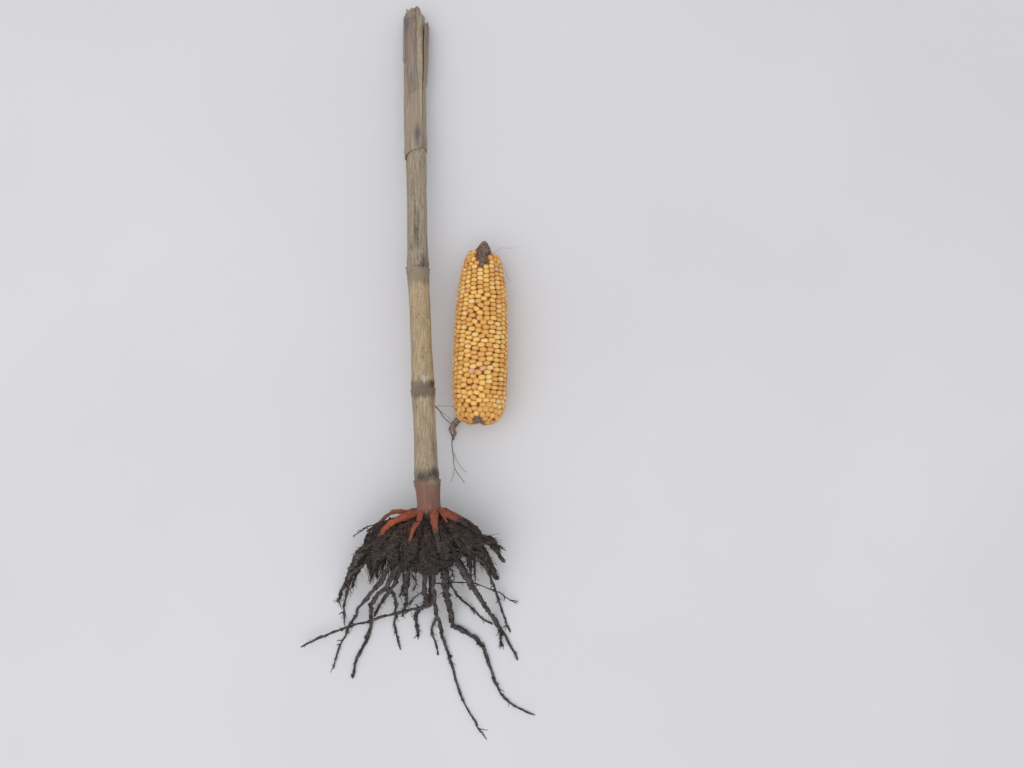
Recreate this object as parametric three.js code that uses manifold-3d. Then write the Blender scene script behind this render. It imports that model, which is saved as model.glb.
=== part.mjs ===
// A maize plant lifted with its roots: a cut stalk lying on the ground, its leaf sheath,
// a whorl of brace roots, a root ball with long trailing roots, and its ear laid beside it.
// Millimetres, +Z up. The stalk lies along +Y and the roots trail towards -Y. The root
// crown, where the stalk meets its roots, is above x = 0, y = 0 until the last step, which
// moves the whole plant so that the middle of its box is above the origin.
import * as THREE from "three";
import { mergeVertices } from "three/addons/utils/BufferGeometryUtils.js";
import Module from "manifold-3d";

const wasm = await Module();
wasm.setup();

// Driving dimensions
const GAP = 0.3; // between pieces that touch
const CROWN_HEIGHT = 46; // stalk axis above the ground at the crown
const STALK_TOP = 474; // from the crown to the cut top
const STALK_SIDES = 12;
const CROWN_DEPTH = 42; // the buried taper of the stalk, inside the roots
const SHEATH_WALL = 0.8;
const SHEATH_RADIUS = 10.9; // outside, below its flare
const SHEATH_FLARE = 2.4; // how far its right side stands off at the cut top
const TOP_HEIGHT = SHEATH_RADIUS + 0.6; // stalk axis above the ground at the cut top
const BALL_FLATNESS = 0.7; // height of the root ball as a share of its width
const LIMB_UNEVENNESS = 0.12; // share of its radius that a root's surface wanders
const MASS_UNEVENNESS = 0.16;
const LOBE_START = -8; // lobes leave the stalk this far along it
const LOBE_DROOP = 0.3; // share of its height that a lobe's tip sinks
const LOBE_TAPER = [1.2, 0.55]; // half width at a lobe's foot and tip as shares of its girth
const BRACE_LEVEL = -2.5; // brace roots leave the stalk this far along it
const EAR_RADIUS = 25.2;
const EAR_LENGTH = 165;
const EAR_START = 77; // from the crown to the ear's butt
const COB_TIP_RADIUS = 5.4;
const COB_BUTT_RADIUS = 6;

// Joints of the stalk, from the crown up: place along it, sideways place, and how far
// the swelling stands out and reaches along the stalk
const JOINTS = [
  { at: 0, side: 0, swell: 1.6, reach: 8 },
  { at: 25.9, side: -2, swell: 2.4, reach: 6 },
  { at: 108.4, side: -6.6, swell: 1.7, reach: 6 },
  { at: 221.4, side: -12.7, swell: 1.9, reach: 6 },
  { at: 332, side: -16.2, swell: 0.2, reach: 6 },
];
const TOP_SIDE = -18.6;
const RADIUS_AT_CROWN = 10.6;
const RADIUS_AT_TOP = 8.9;
const FOOT_TAPER = 0.7; // share of its radius that the buried foot loses
const OVAL = 0.95; // height of the stalk's section as a share of its width

// Colours, roughness and metalness
const TAN_RIND = new THREE.MeshStandardMaterial({ color: 0xa5967a, roughness: 0.6, metalness: 0 });
const DRY_SHEATH = new THREE.MeshStandardMaterial({ color: 0x8c8073, roughness: 0.75, metalness: 0 });
const ORANGE_ROOT = new THREE.MeshStandardMaterial({ color: 0xd2562c, roughness: 0.7, metalness: 0 });
const DARK_ROOT = new THREE.MeshStandardMaterial({ color: 0x4a3f38, roughness: 0.9, metalness: 0 });
const SOIL_ROOT = new THREE.MeshStandardMaterial({ color: 0x3c342f, roughness: 1, metalness: 0 });
const GOLD_GRAIN = new THREE.MeshStandardMaterial({ color: 0xe1a93c, roughness: 0.4, metalness: 0 });
const BROWN_COB = new THREE.MeshStandardMaterial({ color: 0x6e554b, roughness: 0.85, metalness: 0 });

const plant = new THREE.Group();

function addPiece(name, geometry, material) {
  const piece = new THREE.Mesh(geometry, material);
  piece.name = name;
  plant.add(piece);
}

// A closed geometry with its shared vertices merged and each vertex moved by place().
function shaped(geometry, place) {
  geometry.deleteAttribute("normal");
  geometry.deleteAttribute("uv");
  const merged = mergeVertices(geometry, 1e-5);
  const position = merged.attributes.position;
  const point = new THREE.Vector3();
  for (let i = 0; i < position.count; i++) {
    point.fromBufferAttribute(position, i);
    place(point);
    position.setXYZ(i, point.x, point.y, point.z);
  }
  return merged;
}

// A slow wave between -1 and 1 that makes a surface uneven, told apart by its seed.
function unevenness(along, turn, seed) {
  const lengthwise = Math.sin(9 * along + 2.3 * seed);
  const roundabout = Math.sin(3 * turn + 5 * along + 1.1 * seed);
  return 0.5 * lengthwise + 0.5 * roundabout;
}

function solidOf(geometry) {
  return new wasm.Manifold(
    new wasm.Mesh({
      numProp: 3,
      vertProperties: geometry.attributes.position.array,
      triVerts: new Uint32Array(geometry.index.array),
    }),
  );
}

function geometryOf(solid) {
  const mesh = solid.getMesh();
  const geometry = new THREE.BufferGeometry();
  geometry.setAttribute("position", new THREE.BufferAttribute(mesh.vertProperties, 3));
  geometry.setIndex(new THREE.BufferAttribute(mesh.triVerts, 1));
  return geometry;
}

// What is left of a solid outside all the cutters; of several bodies, the largest.
function cutBy(solid, cutters) {
  const left = cutters.reduce((rest, cutter) => rest.subtract(cutter), solid);
  const bodies = left.decompose();
  return bodies.reduce((best, body) => (body.volume() > best.volume() ? body : best));
}

// The stalk: one tapering limb with a swelling at each joint, slightly oval, and a
// buried taper at its foot. It slopes from the crown, propped up by the root ball, down
// to its cut top on the ground.
function stalkCentre(y) {
  const ends = [...JOINTS.map((joint) => [joint.at, joint.side]), [STALK_TOP, TOP_SIDE]];
  let side = 0;
  for (let i = 1; i < ends.length; i++) {
    const [from, fromSide] = ends[i - 1];
    const [to, toSide] = ends[i];
    if (y >= from) side = fromSide + ((toSide - fromSide) * (y - from)) / (to - from);
  }
  const rise = Math.max(y, 0) / STALK_TOP;
  return new THREE.Vector3(side, y, CROWN_HEIGHT + (TOP_HEIGHT - CROWN_HEIGHT) * rise);
}

function stalkRadius(y) {
  const share = THREE.MathUtils.clamp(y / STALK_TOP, 0, 1);
  let radius = THREE.MathUtils.lerp(RADIUS_AT_CROWN, RADIUS_AT_TOP, share);
  for (const joint of JOINTS) {
    radius += joint.swell * Math.exp(-(((y - joint.at) / joint.reach) ** 2));
  }
  return y < 0 ? radius * (1 + (FOOT_TAPER * y) / CROWN_DEPTH) : radius;
}

// Places along the stalk of its rings of points: close round a joint, wide between joints.
const JOINT_REACH = 8;
const RING_SPACING = 34;

function stalkStations() {
  const stations = [-CROWN_DEPTH, -0.6 * CROWN_DEPTH, -0.3 * CROWN_DEPTH];
  JOINTS.forEach((joint, i) => {
    const next = i + 1 < JOINTS.length ? JOINTS[i + 1].at : STALK_TOP;
    const first = joint.at + JOINT_REACH;
    const last = next - JOINT_REACH;
    const ring = [-3, 0, 3, JOINT_REACH].filter((step) => joint.at + step < last);
    ring.forEach((step) => stations.push(joint.at + step));
    const count = Math.floor((last - first) / RING_SPACING);
    for (let k = 1; k <= count; k++) stations.push(first + ((last - first) * k) / (count + 1));
    if (last > first) stations.push(last);
  });
  stations.push(STALK_TOP);
  return stations;
}

function stalkGeometry(grow) {
  const stations = stalkStations();
  const steps = stations.length - 1;
  const rod = new THREE.CylinderGeometry(1, 1, 1, STALK_SIDES, steps);
  return shaped(rod, (point) => {
    const y = stations[Math.round((point.y + 0.5) * steps)];
    const centre = stalkCentre(y);
    const radius = stalkRadius(y);
    const tilt = y === STALK_TOP ? 2.5 * point.x - 1.5 * point.z : 0;
    const atEnd = y === STALK_TOP || y === -CROWN_DEPTH;
    point.set(
      centre.x + point.x * (radius + grow),
      y + tilt + (atEnd ? Math.sign(y) * grow : 0),
      centre.z + point.z * (OVAL * radius + grow),
    );
  });
}

// A shell wrapped round the stalk: from one margin to the other, with its wall outside
// the given inner radius. Its lower edge is at from and its upper edge at to, and the
// margins are angles in degrees, counted from +X over the top of the stalk. The upper
// edge is uneven, which dies away quickly down the shell.
function wrapGeometry({ from, to, wall, inner, margins, topEdge, across, up }) {
  const slab = new THREE.BoxGeometry(1, 1, 1, across, up, 1);
  return shaped(slab, (point) => {
    const along = point.y + 0.5;
    const level = THREE.MathUtils.lerp(from, to, along);
    const [low, high] = margins(along);
    const turn = THREE.MathUtils.degToRad(high + (low - high) * (point.x + 0.5));
    const y = level + along ** 4 * topEdge(turn);
    const centre = stalkCentre(y);
    const radius = inner(along, turn) + (point.z > 0 ? wall : 0);
    point.set(centre.x + radius * Math.cos(turn), y, centre.z + radius * Math.sin(turn));
  });
}

// The last leaf's sheath grows from the topmost joint and wraps the stalk. Its margins
// part in a narrow V near the cut top, where the stalk shows.
const SHEATH_FROM = 331;
const SHEATH_TO = 467;
const V_FOOT = 0.3; // share of the sheath's length where its margins start to part
const V_SPREAD = 44; // degrees between the margins at the top

function sheathInner(along, turn) {
  const flare = SHEATH_FLARE * along ** 2 * (0.5 + 0.5 * Math.cos(turn));
  return SHEATH_RADIUS - SHEATH_WALL + flare;
}

function sheathGeometry() {
  return wrapGeometry({
    from: SHEATH_FROM,
    to: SHEATH_TO,
    wall: SHEATH_WALL,
    inner: sheathInner,
    margins: (along) => {
      const open = Math.max(0, along - V_FOOT) / (1 - V_FOOT);
      return [50 + V_SPREAD * open, 46 + 360];
    },
    topEdge: (turn) => 5 * Math.sin(turn - 0.9),
    across: 14,
    up: 5,
  });
}

// A torn outer layer of the sheath clings to its left side near the top.
const TORN_FROM = 394;
const TORN_WALL = 0.6;

function tornLayerGeometry() {
  const share = (TORN_FROM - SHEATH_FROM) / (SHEATH_TO - SHEATH_FROM);
  return wrapGeometry({
    from: TORN_FROM,
    to: SHEATH_TO - 1,
    wall: TORN_WALL,
    inner: (along, turn) => sheathInner(share + (1 - share) * along, turn) + SHEATH_WALL + GAP,
    margins: (along) => [98 + 4 * Math.sin(7 * along), 186],
    topEdge: (turn) => 2 * Math.sin(5 * turn),
    across: 5,
    up: 4,
  });
}

// A round limb along a curve, thick at its start and thin at its end.
function limbGeometry(curve, { thick, thin, sides, stride, seed, grow = 0 }) {
  const steps = Math.max(4, Math.round(curve.getLength() / stride));
  const frames = curve.computeFrenetFrames(steps, false);
  const rod = new THREE.CylinderGeometry(1, 1, 1, sides, steps);
  return shaped(rod, (point) => {
    const step = Math.round((point.y + 0.5) * steps);
    const along = step / steps;
    const taper = THREE.MathUtils.lerp(thick, thin, along) / 2;
    const uneven = 1 + LIMB_UNEVENNESS * unevenness(along, Math.atan2(point.z, point.x), seed);
    const radius = taper * uneven + grow;
    const centre = curve.getPointAt(along);
    centre.addScaledVector(frames.normals[step], point.x * radius);
    centre.addScaledVector(frames.binormals[step], -point.z * radius);
    point.set(centre.x, centre.y, Math.max(centre.z, 0));
  });
}

// A mass of fine roots and soil: an uneven closed lobe that leaves the crown at an angle
// round the stalk, spreads outward and then runs down the root ball to its tip.
function lobeCurve({ turn, reach, depth }) {
  const angle = THREE.MathUtils.degToRad(turn);
  const points = [];
  for (let i = 0; i <= 6; i++) {
    const quarter = (Math.PI / 2) * (i / 6);
    const out = reach * Math.sin(quarter);
    const height = CROWN_HEIGHT + out * BALL_FLATNESS * Math.sin(angle);
    points.push(
      new THREE.Vector3(
        out * Math.cos(angle),
        LOBE_START - depth * (1 - Math.cos(quarter)),
        height * (1 - LOBE_DROOP * (1 - Math.cos(quarter)) ** 2),
      ),
    );
  }
  return new THREE.CatmullRomCurve3(points);
}

function lobeGeometry(lobe, grow) {
  const curve = lobeCurve(lobe);
  const ball = new THREE.SphereGeometry(1, 9, 7);
  const upright = new THREE.Vector3(0, 0, 1);
  return shaped(ball, (point) => {
    const along = THREE.MathUtils.clamp((1 - point.y) / 2, 0, 1);
    const turn = Math.atan2(point.z, point.x);
    const forward = curve.getTangentAt(along);
    const sideways = new THREE.Vector3().crossVectors(forward, upright).normalize();
    const upward = new THREE.Vector3().crossVectors(sideways, forward);
    const taper = lobe.girth * THREE.MathUtils.lerp(...LOBE_TAPER, along);
    const radius = taper * (1 + MASS_UNEVENNESS * unevenness(along, turn, lobe.turn)) + grow;
    const centre = curve.getPointAt(along);
    centre.addScaledVector(sideways, point.x * radius);
    centre.addScaledVector(upward, -point.z * radius);
    centre.addScaledVector(forward, -point.y * grow);
    point.set(centre.x, centre.y, Math.max(centre.z, 0));
  });
}

// Each lobe: its angle round the stalk from +X over the top, how far it spreads, how far
// it runs down from the crown, and half its width.
const LOBES = [
  { name: "root_mass_left_outer", turn: 182, reach: 65, depth: 50, girth: 11.5 },
  { name: "root_mass_left", turn: 158, reach: 58, depth: 64, girth: 12 },
  { name: "root_mass_left_middle", turn: 134, reach: 54, depth: 64, girth: 12 },
  { name: "root_mass_left_inner", turn: 112, reach: 52, depth: 66, girth: 12 },
  { name: "root_mass_centre", turn: 85, reach: 48, depth: 76, girth: 12 },
  { name: "root_mass_right_inner", turn: 66, reach: 50, depth: 66, girth: 12 },
  { name: "root_mass_right", turn: 36, reach: 52, depth: 56, girth: 13 },
  { name: "root_mass_right_outer", turn: 4, reach: 60, depth: 54, girth: 12 },
  { name: "root_mass_under_right", turn: 322, reach: 52, depth: 54, girth: 13 },
  { name: "root_mass_under_centre", turn: 272, reach: 54, depth: 62, girth: 14 },
  { name: "root_mass_under_left", turn: 220, reach: 54, depth: 58, girth: 13 },
];

// The core of the root ball, which the lobes lie round.
const CORE = { width: 56, depth: 50, height: 46, centre: -33, seed: 4 };

function coreGeometry(grow) {
  const ball = new THREE.SphereGeometry(1, 10, 7);
  return shaped(ball, (point) => {
    const wave = unevenness(point.y, Math.atan2(point.z, point.x), CORE.seed);
    const uneven = 1 + 0.5 * MASS_UNEVENNESS * wave;
    point.set(
      point.x * ((CORE.width / 2) * uneven + grow),
      CORE.centre + point.y * (CORE.depth / 2 + grow),
      CROWN_HEIGHT + point.z * ((CORE.height / 2) * uneven + grow),
    );
  });
}

// A brace root leaves the stalk just above the crown at an angle round it, arches
// outward and ends where it enters the root ball.
function braceCurve({ turn, arch, dip, end }) {
  const angle = THREE.MathUtils.degToRad(turn);
  const outward = new THREE.Vector3(Math.cos(angle), 0, Math.sin(angle));
  const foot = stalkCentre(BRACE_LEVEL).addScaledVector(outward, 0.6 * RADIUS_AT_CROWN);
  const knee = stalkCentre(BRACE_LEVEL).addScaledVector(outward, RADIUS_AT_CROWN + arch);
  knee.y -= dip;
  return new THREE.CatmullRomCurve3([foot, knee, new THREE.Vector3(...end)]);
}

const BRACES = [
  { name: "brace_root_arch", turn: 172, arch: 22, dip: -2, end: [-58, -20, 42], thick: 4 },
  { name: "brace_root_left", turn: 150, arch: 9, dip: 3, end: [-44, -24, 60], thick: 6 },
  { name: "brace_root_centre_left", turn: 112, arch: 8, dip: 5, end: [-17, -24, 76], thick: 5 },
  { name: "brace_root_centre", turn: 72, arch: 9, dip: 3, end: [8, -30, 84], thick: 7.4 },
  { name: "brace_root_small", turn: 40, arch: 5, dip: 2, end: [16, -14, 64], thick: 3.6 },
  { name: "brace_root_right", turn: 24, arch: 9, dip: 3, end: [31, -15, 64], thick: 6 },
  { name: "brace_root_right_shoulder", turn: 0, arch: 14, dip: 0, end: [50, -18, 44], thick: 6 },
  { name: "brace_root_under_left", turn: 205, arch: 11, dip: 3, end: [-42, -24, 24], thick: 5.5 },
  { name: "brace_root_under", turn: 265, arch: 9, dip: 4, end: [-4, -26, 10], thick: 6 },
  { name: "brace_root_under_right", turn: 325, arch: 10, dip: 3, end: [36, -22, 22], thick: 5.5 },
];

// A trailing root leaves the root ball at a start point, heads along a bearing in plan
// and comes down to the ground after a share of its length. Bow, sway and kink are its
// sideways waves: one, two and three half waves over its length. The line is carried
// back into the root ball, whose surface cuts it off, unless it continues another root.
const TRAIL_STEP = 12;
const HEART_SHARE = 0.45; // where the line starts, as a share of the start point's place

function trailPoint(root, along) {
  const angle = THREE.MathUtils.degToRad(root.bearing);
  const wave = (count) => Math.sin(count * Math.PI * along);
  const aside = root.bow * wave(1) + root.sway * wave(2) + root.kink * wave(3);
  const ahead = root.length * along;
  const rest = root.rest ?? root.thin / 2;
  const drop = Math.max(0, 1 - along / root.down) ** 1.5;
  return new THREE.Vector3(
    root.start[0] + ahead * Math.cos(angle) - aside * Math.sin(angle),
    root.start[1] + ahead * Math.sin(angle) + aside * Math.cos(angle),
    rest + (root.start[2] - rest) * drop,
  );
}

function trailCurve(root) {
  const count = Math.max(4, Math.round(root.length / TRAIL_STEP));
  const points = [];
  for (let i = 0; i <= count; i++) points.push(trailPoint(root, i / count));
  if (!root.continues) {
    const heart = new THREE.Vector3(...root.start).multiplyScalar(HEART_SHARE);
    heart.z = THREE.MathUtils.lerp(CROWN_HEIGHT, root.start[2], 0.5);
    points.unshift(heart);
  }
  return new THREE.CatmullRomCurve3(points, false, "centripetal");
}

const TRAILS = [
  { name: "long_root_right_upper", start: [14.5, -64.7, 44], length: 47, bearing: -86.1,
    bow: 0.2, sway: 0, kink: 0, down: 1.1, thick: 6, thin: 4.8 },
  { name: "long_root_right_lower", start: [17.7, -113.5, 3], length: 115.3, bearing: -46.8,
    bow: -1.8, sway: 8.9, kink: 0.1, down: 1, thick: 4.8, thin: 1.3, continues: true },
  { name: "long_root_middle", start: [3.1, -81.9, 30], length: 145, bearing: -71.1,
    bow: -9.2, sway: 0.7, kink: -0.7, down: 0.4, thick: 5, thin: 1.3 },
  { name: "long_root_crossing", start: [-1.5, -92.2, 12], length: 127.7, bearing: -162.3,
    bow: -3.6, sway: 0.5, kink: -0.2, down: 1, thick: 3, thin: 2.2, rest: 9 },
  { name: "root_left_long", start: [-58.6, -80, 26], length: 82.1, bearing: -116,
    bow: -3.4, sway: 0.1, kink: -0.5, down: 0.6, thick: 4.4, thin: 1.1 },
  { name: "root_left_knobbly", start: [-43.4, -74.6, 30], length: 96, bearing: -110.1,
    bow: -4.2, sway: -2.6, kink: -3.3, down: 0.5, thick: 5.2, thin: 2.2 },
  { name: "root_left_short", start: [-37.9, -78.1, 26], length: 32.6, bearing: -124.8,
    bow: -1.2, sway: 0, kink: 0, down: 0.9, thick: 4, thin: 1.5 },
  { name: "root_left_wavy", start: [-40.7, -71.8, 26], length: 64.9, bearing: -81.6,
    bow: 0.6, sway: 3.1, kink: 1, down: 0.6, thick: 3.4, thin: 1.6 },
  { name: "root_centre_left", start: [-21.9, -64.8, 34], length: 42.1, bearing: -99.2,
    bow: 0.2, sway: 0, kink: 0, down: 0.9, thick: 6, thin: 1.6 },
  { name: "root_hooked", start: [-5.3, -77.4, 30], length: 46.9, bearing: -99.7,
    bow: -3.3, sway: 3, kink: 1.5, down: 0.6, thick: 4.2, thin: 2.6 },
  { name: "root_centre_thin", start: [1, -88, 20], length: 54, bearing: -85.3,
    bow: -2, sway: 2.5, kink: 1, down: 0.6, thick: 3, thin: 1.4 },
  { name: "root_right_thin", start: [18.9, -71, 30], length: 55.7, bearing: -48.3,
    bow: -5, sway: -0.3, kink: -0.3, down: 0.6, thick: 2.8, thin: 1.4 },
  { name: "root_right_thick", start: [36, -65.1, 42], length: 93.1, bearing: -62,
    bow: -0.1, sway: -0.8, kink: 0.4, down: 0.6, thick: 7, thin: 1.6 },
  { name: "root_right_slim", start: [55.5, -66.4, 26], length: 55.6, bearing: -71.6,
    bow: 0, sway: 0.4, kink: 0, down: 0.6, thick: 3.4, thin: 1.4 },
  { name: "root_right_outer", start: [51.3, -31.6, 44], length: 37.9, bearing: -74,
    bow: -1.3, sway: 0.3, kink: 0, down: 2, thick: 7, thin: 4 },
  { name: "root_left_outer", start: [-66.8, -44.2, 38], length: 54, bearing: -116.1,
    bow: -1.1, sway: 0, kink: 0, down: 1, thick: 7, thin: 2 },
  { name: "root_left_fork", start: [-74.4, -61.7, 26], length: 51.7, bearing: -100.8,
    bow: -2.9, sway: 0.8, kink: 0, down: 0.8, thick: 4, thin: 1.2 },
];

// A ball stretched along a straight axis, with its half width given by a profile.
function spindleGeometry({ foot, tip, profile, sides, rings, grow = 0 }) {
  const axis = new THREE.Vector3().subVectors(tip, foot);
  const forward = axis.clone().normalize();
  const upright = new THREE.Vector3(0, 0, 1);
  const sideways = new THREE.Vector3().crossVectors(forward, upright).normalize();
  const upward = new THREE.Vector3().crossVectors(sideways, forward);
  const ball = new THREE.SphereGeometry(1, sides, rings);
  return shaped(ball, (point) => {
    const ring = Math.round((Math.acos(THREE.MathUtils.clamp(point.y, -1, 1)) / Math.PI) * rings);
    const turn = Math.atan2(point.z, point.x);
    const along = 1 - ring / rings;
    const outside = profile.getPoint(along);
    const radius = ring === 0 || ring === rings ? 0 : outside.x + grow;
    const centre = foot.clone().addScaledVector(forward, outside.y);
    centre.addScaledVector(sideways, Math.cos(turn) * radius);
    centre.addScaledVector(upward, Math.sin(turn) * radius);
    point.set(centre.x, centre.y, Math.max(centre.z, 0));
  });
}

// The ear lies on its side next to the stalk, butt end level with the second joint.
const EAR_FOOT = new THREE.Vector3(44.1, EAR_START, EAR_RADIUS);
const EAR_TIP = new THREE.Vector3(47.6, EAR_START + EAR_LENGTH, EAR_RADIUS - 1);
const COB_POINT = new THREE.Vector3(49.3, EAR_TIP.y + 8, EAR_RADIUS);

function earGeometry(grow) {
  const outline = [
    [0, 0], [13, 1], [19.5, 10], [23.6, 22], [EAR_RADIUS, 42], [EAR_RADIUS, 78],
    [24.3, 98], [22.4, 120], [19.6, 140], [15, 156], [8, 163], [0, EAR_LENGTH],
  ];
  const profile = new THREE.SplineCurve(outline.map(([x, y]) => new THREE.Vector2(x, y)));
  return spindleGeometry({ foot: EAR_FOOT, tip: EAR_TIP, profile, sides: 18, rings: 12, grow });
}

// The bare cob shows as a brown point at the ear's tip and as a scar at its butt.
function cobEndGeometry(foot, tip, radius) {
  const length = foot.distanceTo(tip);
  const outline = [[0, 0], [radius, 0.06 * length], [0.8 * radius, 0.6 * length], [0, length]];
  const profile = new THREE.SplineCurve(outline.map(([x, y]) => new THREE.Vector2(x, y)));
  return spindleGeometry({ foot, tip, profile, sides: 8, rings: 6 });
}

// A shred of husk lies on the ground at the ear's butt, and a dry thread of it still
// reaches the stalk's second joint.
const HUSK_CURVE = new THREE.CatmullRomCurve3([
  new THREE.Vector3(34, 93, 14),
  new THREE.Vector3(25, 86, 6.5),
  new THREE.Vector3(18.5, 76, 2.6),
  new THREE.Vector3(18.5, 66.6, 1.2),
]);
const THREAD_CURVE = new THREE.CatmullRomCurve3([
  new THREE.Vector3(-2, 94.5, 36),
  new THREE.Vector3(6, 92.5, 33),
  new THREE.Vector3(11, 84.5, 16),
  new THREE.Vector3(17.2, 78.5, 2),
]);

function buildPlant() {
  addPiece("stalk", stalkGeometry(0), TAN_RIND);
  addPiece("leaf_sheath", sheathGeometry(), DRY_SHEATH);
  addPiece("leaf_sheath_torn_layer", tornLayerGeometry(), DRY_SHEATH);

  const cutters = [solidOf(stalkGeometry(GAP))];
  const addCut = (name, make, material) => {
    const piece = cutBy(solidOf(make(0)), cutters);
    addPiece(name, geometryOf(piece), material);
    cutters.push(solidOf(make(GAP)));
  };
  BRACES.forEach((brace, i) => {
    const size = { thick: brace.thick, thin: 0.7 * brace.thick, sides: 6, stride: 7, seed: i };
    const make = (grow) => limbGeometry(braceCurve(brace), { ...size, grow });
    addCut(brace.name, make, ORANGE_ROOT);
  });
  addCut("root_mass_core", coreGeometry, SOIL_ROOT);
  LOBES.forEach((lobe) => addCut(lobe.name, (grow) => lobeGeometry(lobe, grow), SOIL_ROOT));
  TRAILS.forEach((trail, i) => {
    const size = { thick: trail.thick, thin: trail.thin, sides: 6, stride: TRAIL_STEP, seed: i };
    const make = (grow) => limbGeometry(trailCurve(trail), { ...size, grow });
    addCut(trail.name, make, DARK_ROOT);
  });

  addPiece("ear", earGeometry(0), GOLD_GRAIN);
  const along = new THREE.Vector3().subVectors(EAR_TIP, EAR_FOOT).normalize();
  const tipFoot = EAR_TIP.clone().addScaledVector(along, GAP);
  addPiece("cob_tip", cobEndGeometry(tipFoot, COB_POINT, COB_TIP_RADIUS), BROWN_COB);
  const buttFoot = EAR_FOOT.clone().addScaledVector(along, -GAP);
  const buttPoint = EAR_FOOT.clone().addScaledVector(along, -2);
  addPiece("cob_butt", cobEndGeometry(buttFoot, buttPoint, COB_BUTT_RADIUS), BROWN_COB);
  cutters.push(solidOf(earGeometry(GAP)));
  const huskSize = { thick: 6, thin: 1.6, sides: 6, stride: 5, seed: 2 };
  addCut("husk_shred", (grow) => limbGeometry(HUSK_CURVE, { ...huskSize, grow }), BROWN_COB);
  const threadSize = { thick: 1, thin: 0.8, sides: 5, stride: 7, seed: 3 };
  addCut("husk_thread", (grow) => limbGeometry(THREAD_CURVE, { ...threadSize, grow }), BROWN_COB);
}

buildPlant();

// The middle of the plant's box goes above the origin, with its lowest point on z = 0.
const box = new THREE.Box3().setFromObject(plant);
const middle = box.getCenter(new THREE.Vector3());
plant.position.set(-middle.x, -middle.y, -box.min.z);

export default plant;
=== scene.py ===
"""A maize plant lifted with its roots: a cut stalk with its dry leaf sheath, brace roots, a root
ball with long trailing roots, and its ear laid beside it."""

import bpy
import numpy as np
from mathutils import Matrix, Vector


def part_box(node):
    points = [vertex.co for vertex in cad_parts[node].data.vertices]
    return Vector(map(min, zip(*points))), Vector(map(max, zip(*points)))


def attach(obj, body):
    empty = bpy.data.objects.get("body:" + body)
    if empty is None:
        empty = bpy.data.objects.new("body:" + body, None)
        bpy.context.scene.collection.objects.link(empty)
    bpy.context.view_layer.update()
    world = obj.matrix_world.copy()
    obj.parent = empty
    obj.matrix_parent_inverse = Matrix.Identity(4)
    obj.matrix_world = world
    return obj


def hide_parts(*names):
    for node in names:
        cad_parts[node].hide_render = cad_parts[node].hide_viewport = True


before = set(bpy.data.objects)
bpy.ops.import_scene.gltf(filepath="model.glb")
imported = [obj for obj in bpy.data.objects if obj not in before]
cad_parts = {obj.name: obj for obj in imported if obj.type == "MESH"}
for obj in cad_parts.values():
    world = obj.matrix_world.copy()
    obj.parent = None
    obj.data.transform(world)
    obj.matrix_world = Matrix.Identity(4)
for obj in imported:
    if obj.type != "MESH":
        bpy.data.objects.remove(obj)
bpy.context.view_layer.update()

# The view
# The plant lies on level pale ground and is seen from above its stalk, as one looks down on a
# thing that is laid out, under an even sky with one softer light from the side.
MM = 0.001  # sizes and places are in millimetres, unless they say otherwise
CROWN_RADIUS = 12.2  # of the stalk's swelling at the crown
CROWN_DEPTH = 42.0  # of the stalk's foot inside the roots
stalk_low, stalk_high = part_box("stalk")
CROWN = np.array([stalk_high.x - CROWN_RADIUS * MM, stalk_low.y + CROWN_DEPTH * MM, 0.0])
CAMERA_PLACE = [72.05, 82.05, 807.11]
CAMERA_TILT = [2.374, -0.207, 0]  # degrees away from straight down
LENS_LENGTH = 29.53
FILM_WIDTH = 36
SKY_STRENGTH = 0.85
LAMP_PLACE = [-350, -200, 1500]
LAMP_TARGET = [0, 100, 0]  # the middle of the plant
LAMP_SIDE = 2.2  # metres
LAMP_POWER = 10.5  # watts


def placed(points):
    """Points in millimetres from the ground under the crown, turned into places in metres."""
    return CROWN + MM * np.asarray(points, float)


def seen(red, green, blue):
    """A colour as the eye sees it, 0 to 255 each, turned into light: each share to the power 2.2."""
    return (*(np.array([red, green, blue]) / 255) ** 2.2, 1.0)


def add_camera():
    """A camera high above the plant, tilted a little towards the cut top of the stalk."""
    lens = bpy.data.cameras.new("view")
    lens.sensor_width = FILM_WIDTH
    lens.lens = LENS_LENGTH
    camera = bpy.data.objects.new("view", lens)
    camera.location = placed(CAMERA_PLACE)
    camera.rotation_euler = np.radians(CAMERA_TILT)
    bpy.context.scene.collection.objects.link(camera)
    bpy.context.scene.camera = camera


def add_lamp():
    """A square soft lamp high up at one side, facing its target."""
    lamp = bpy.data.lights.new("side_light", "AREA")
    lamp.size = LAMP_SIDE
    lamp.energy = LAMP_POWER
    holder = bpy.data.objects.new("side_light", lamp)
    holder.location = placed(LAMP_PLACE)
    towards = Vector(placed(LAMP_TARGET)) - holder.location
    holder.rotation_euler = towards.to_track_quat("-Z", "Y").to_euler()
    bpy.context.scene.collection.objects.link(holder)


def add_sky():
    """An even pale sky all round."""
    world = bpy.data.worlds.new("sky")
    world.use_nodes = True
    sky = world.node_tree.nodes["Background"]
    sky.inputs["Color"].default_value = seen(250, 252, 255)
    sky.inputs["Strength"].default_value = SKY_STRENGTH
    bpy.context.scene.world = world


add_camera()
add_sky()
add_lamp()
bpy.context.scene.view_settings.view_transform = "Standard"


# The ground
# Plain pale ground under the plant, level and matt, wide enough to be seen from every side. It
# isn't part of the plant, and only takes its shadow.
BOARD_HALF = 4000
BOARD_TOP = -0.2  # just under the plant, so that the two never share a surface


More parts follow.
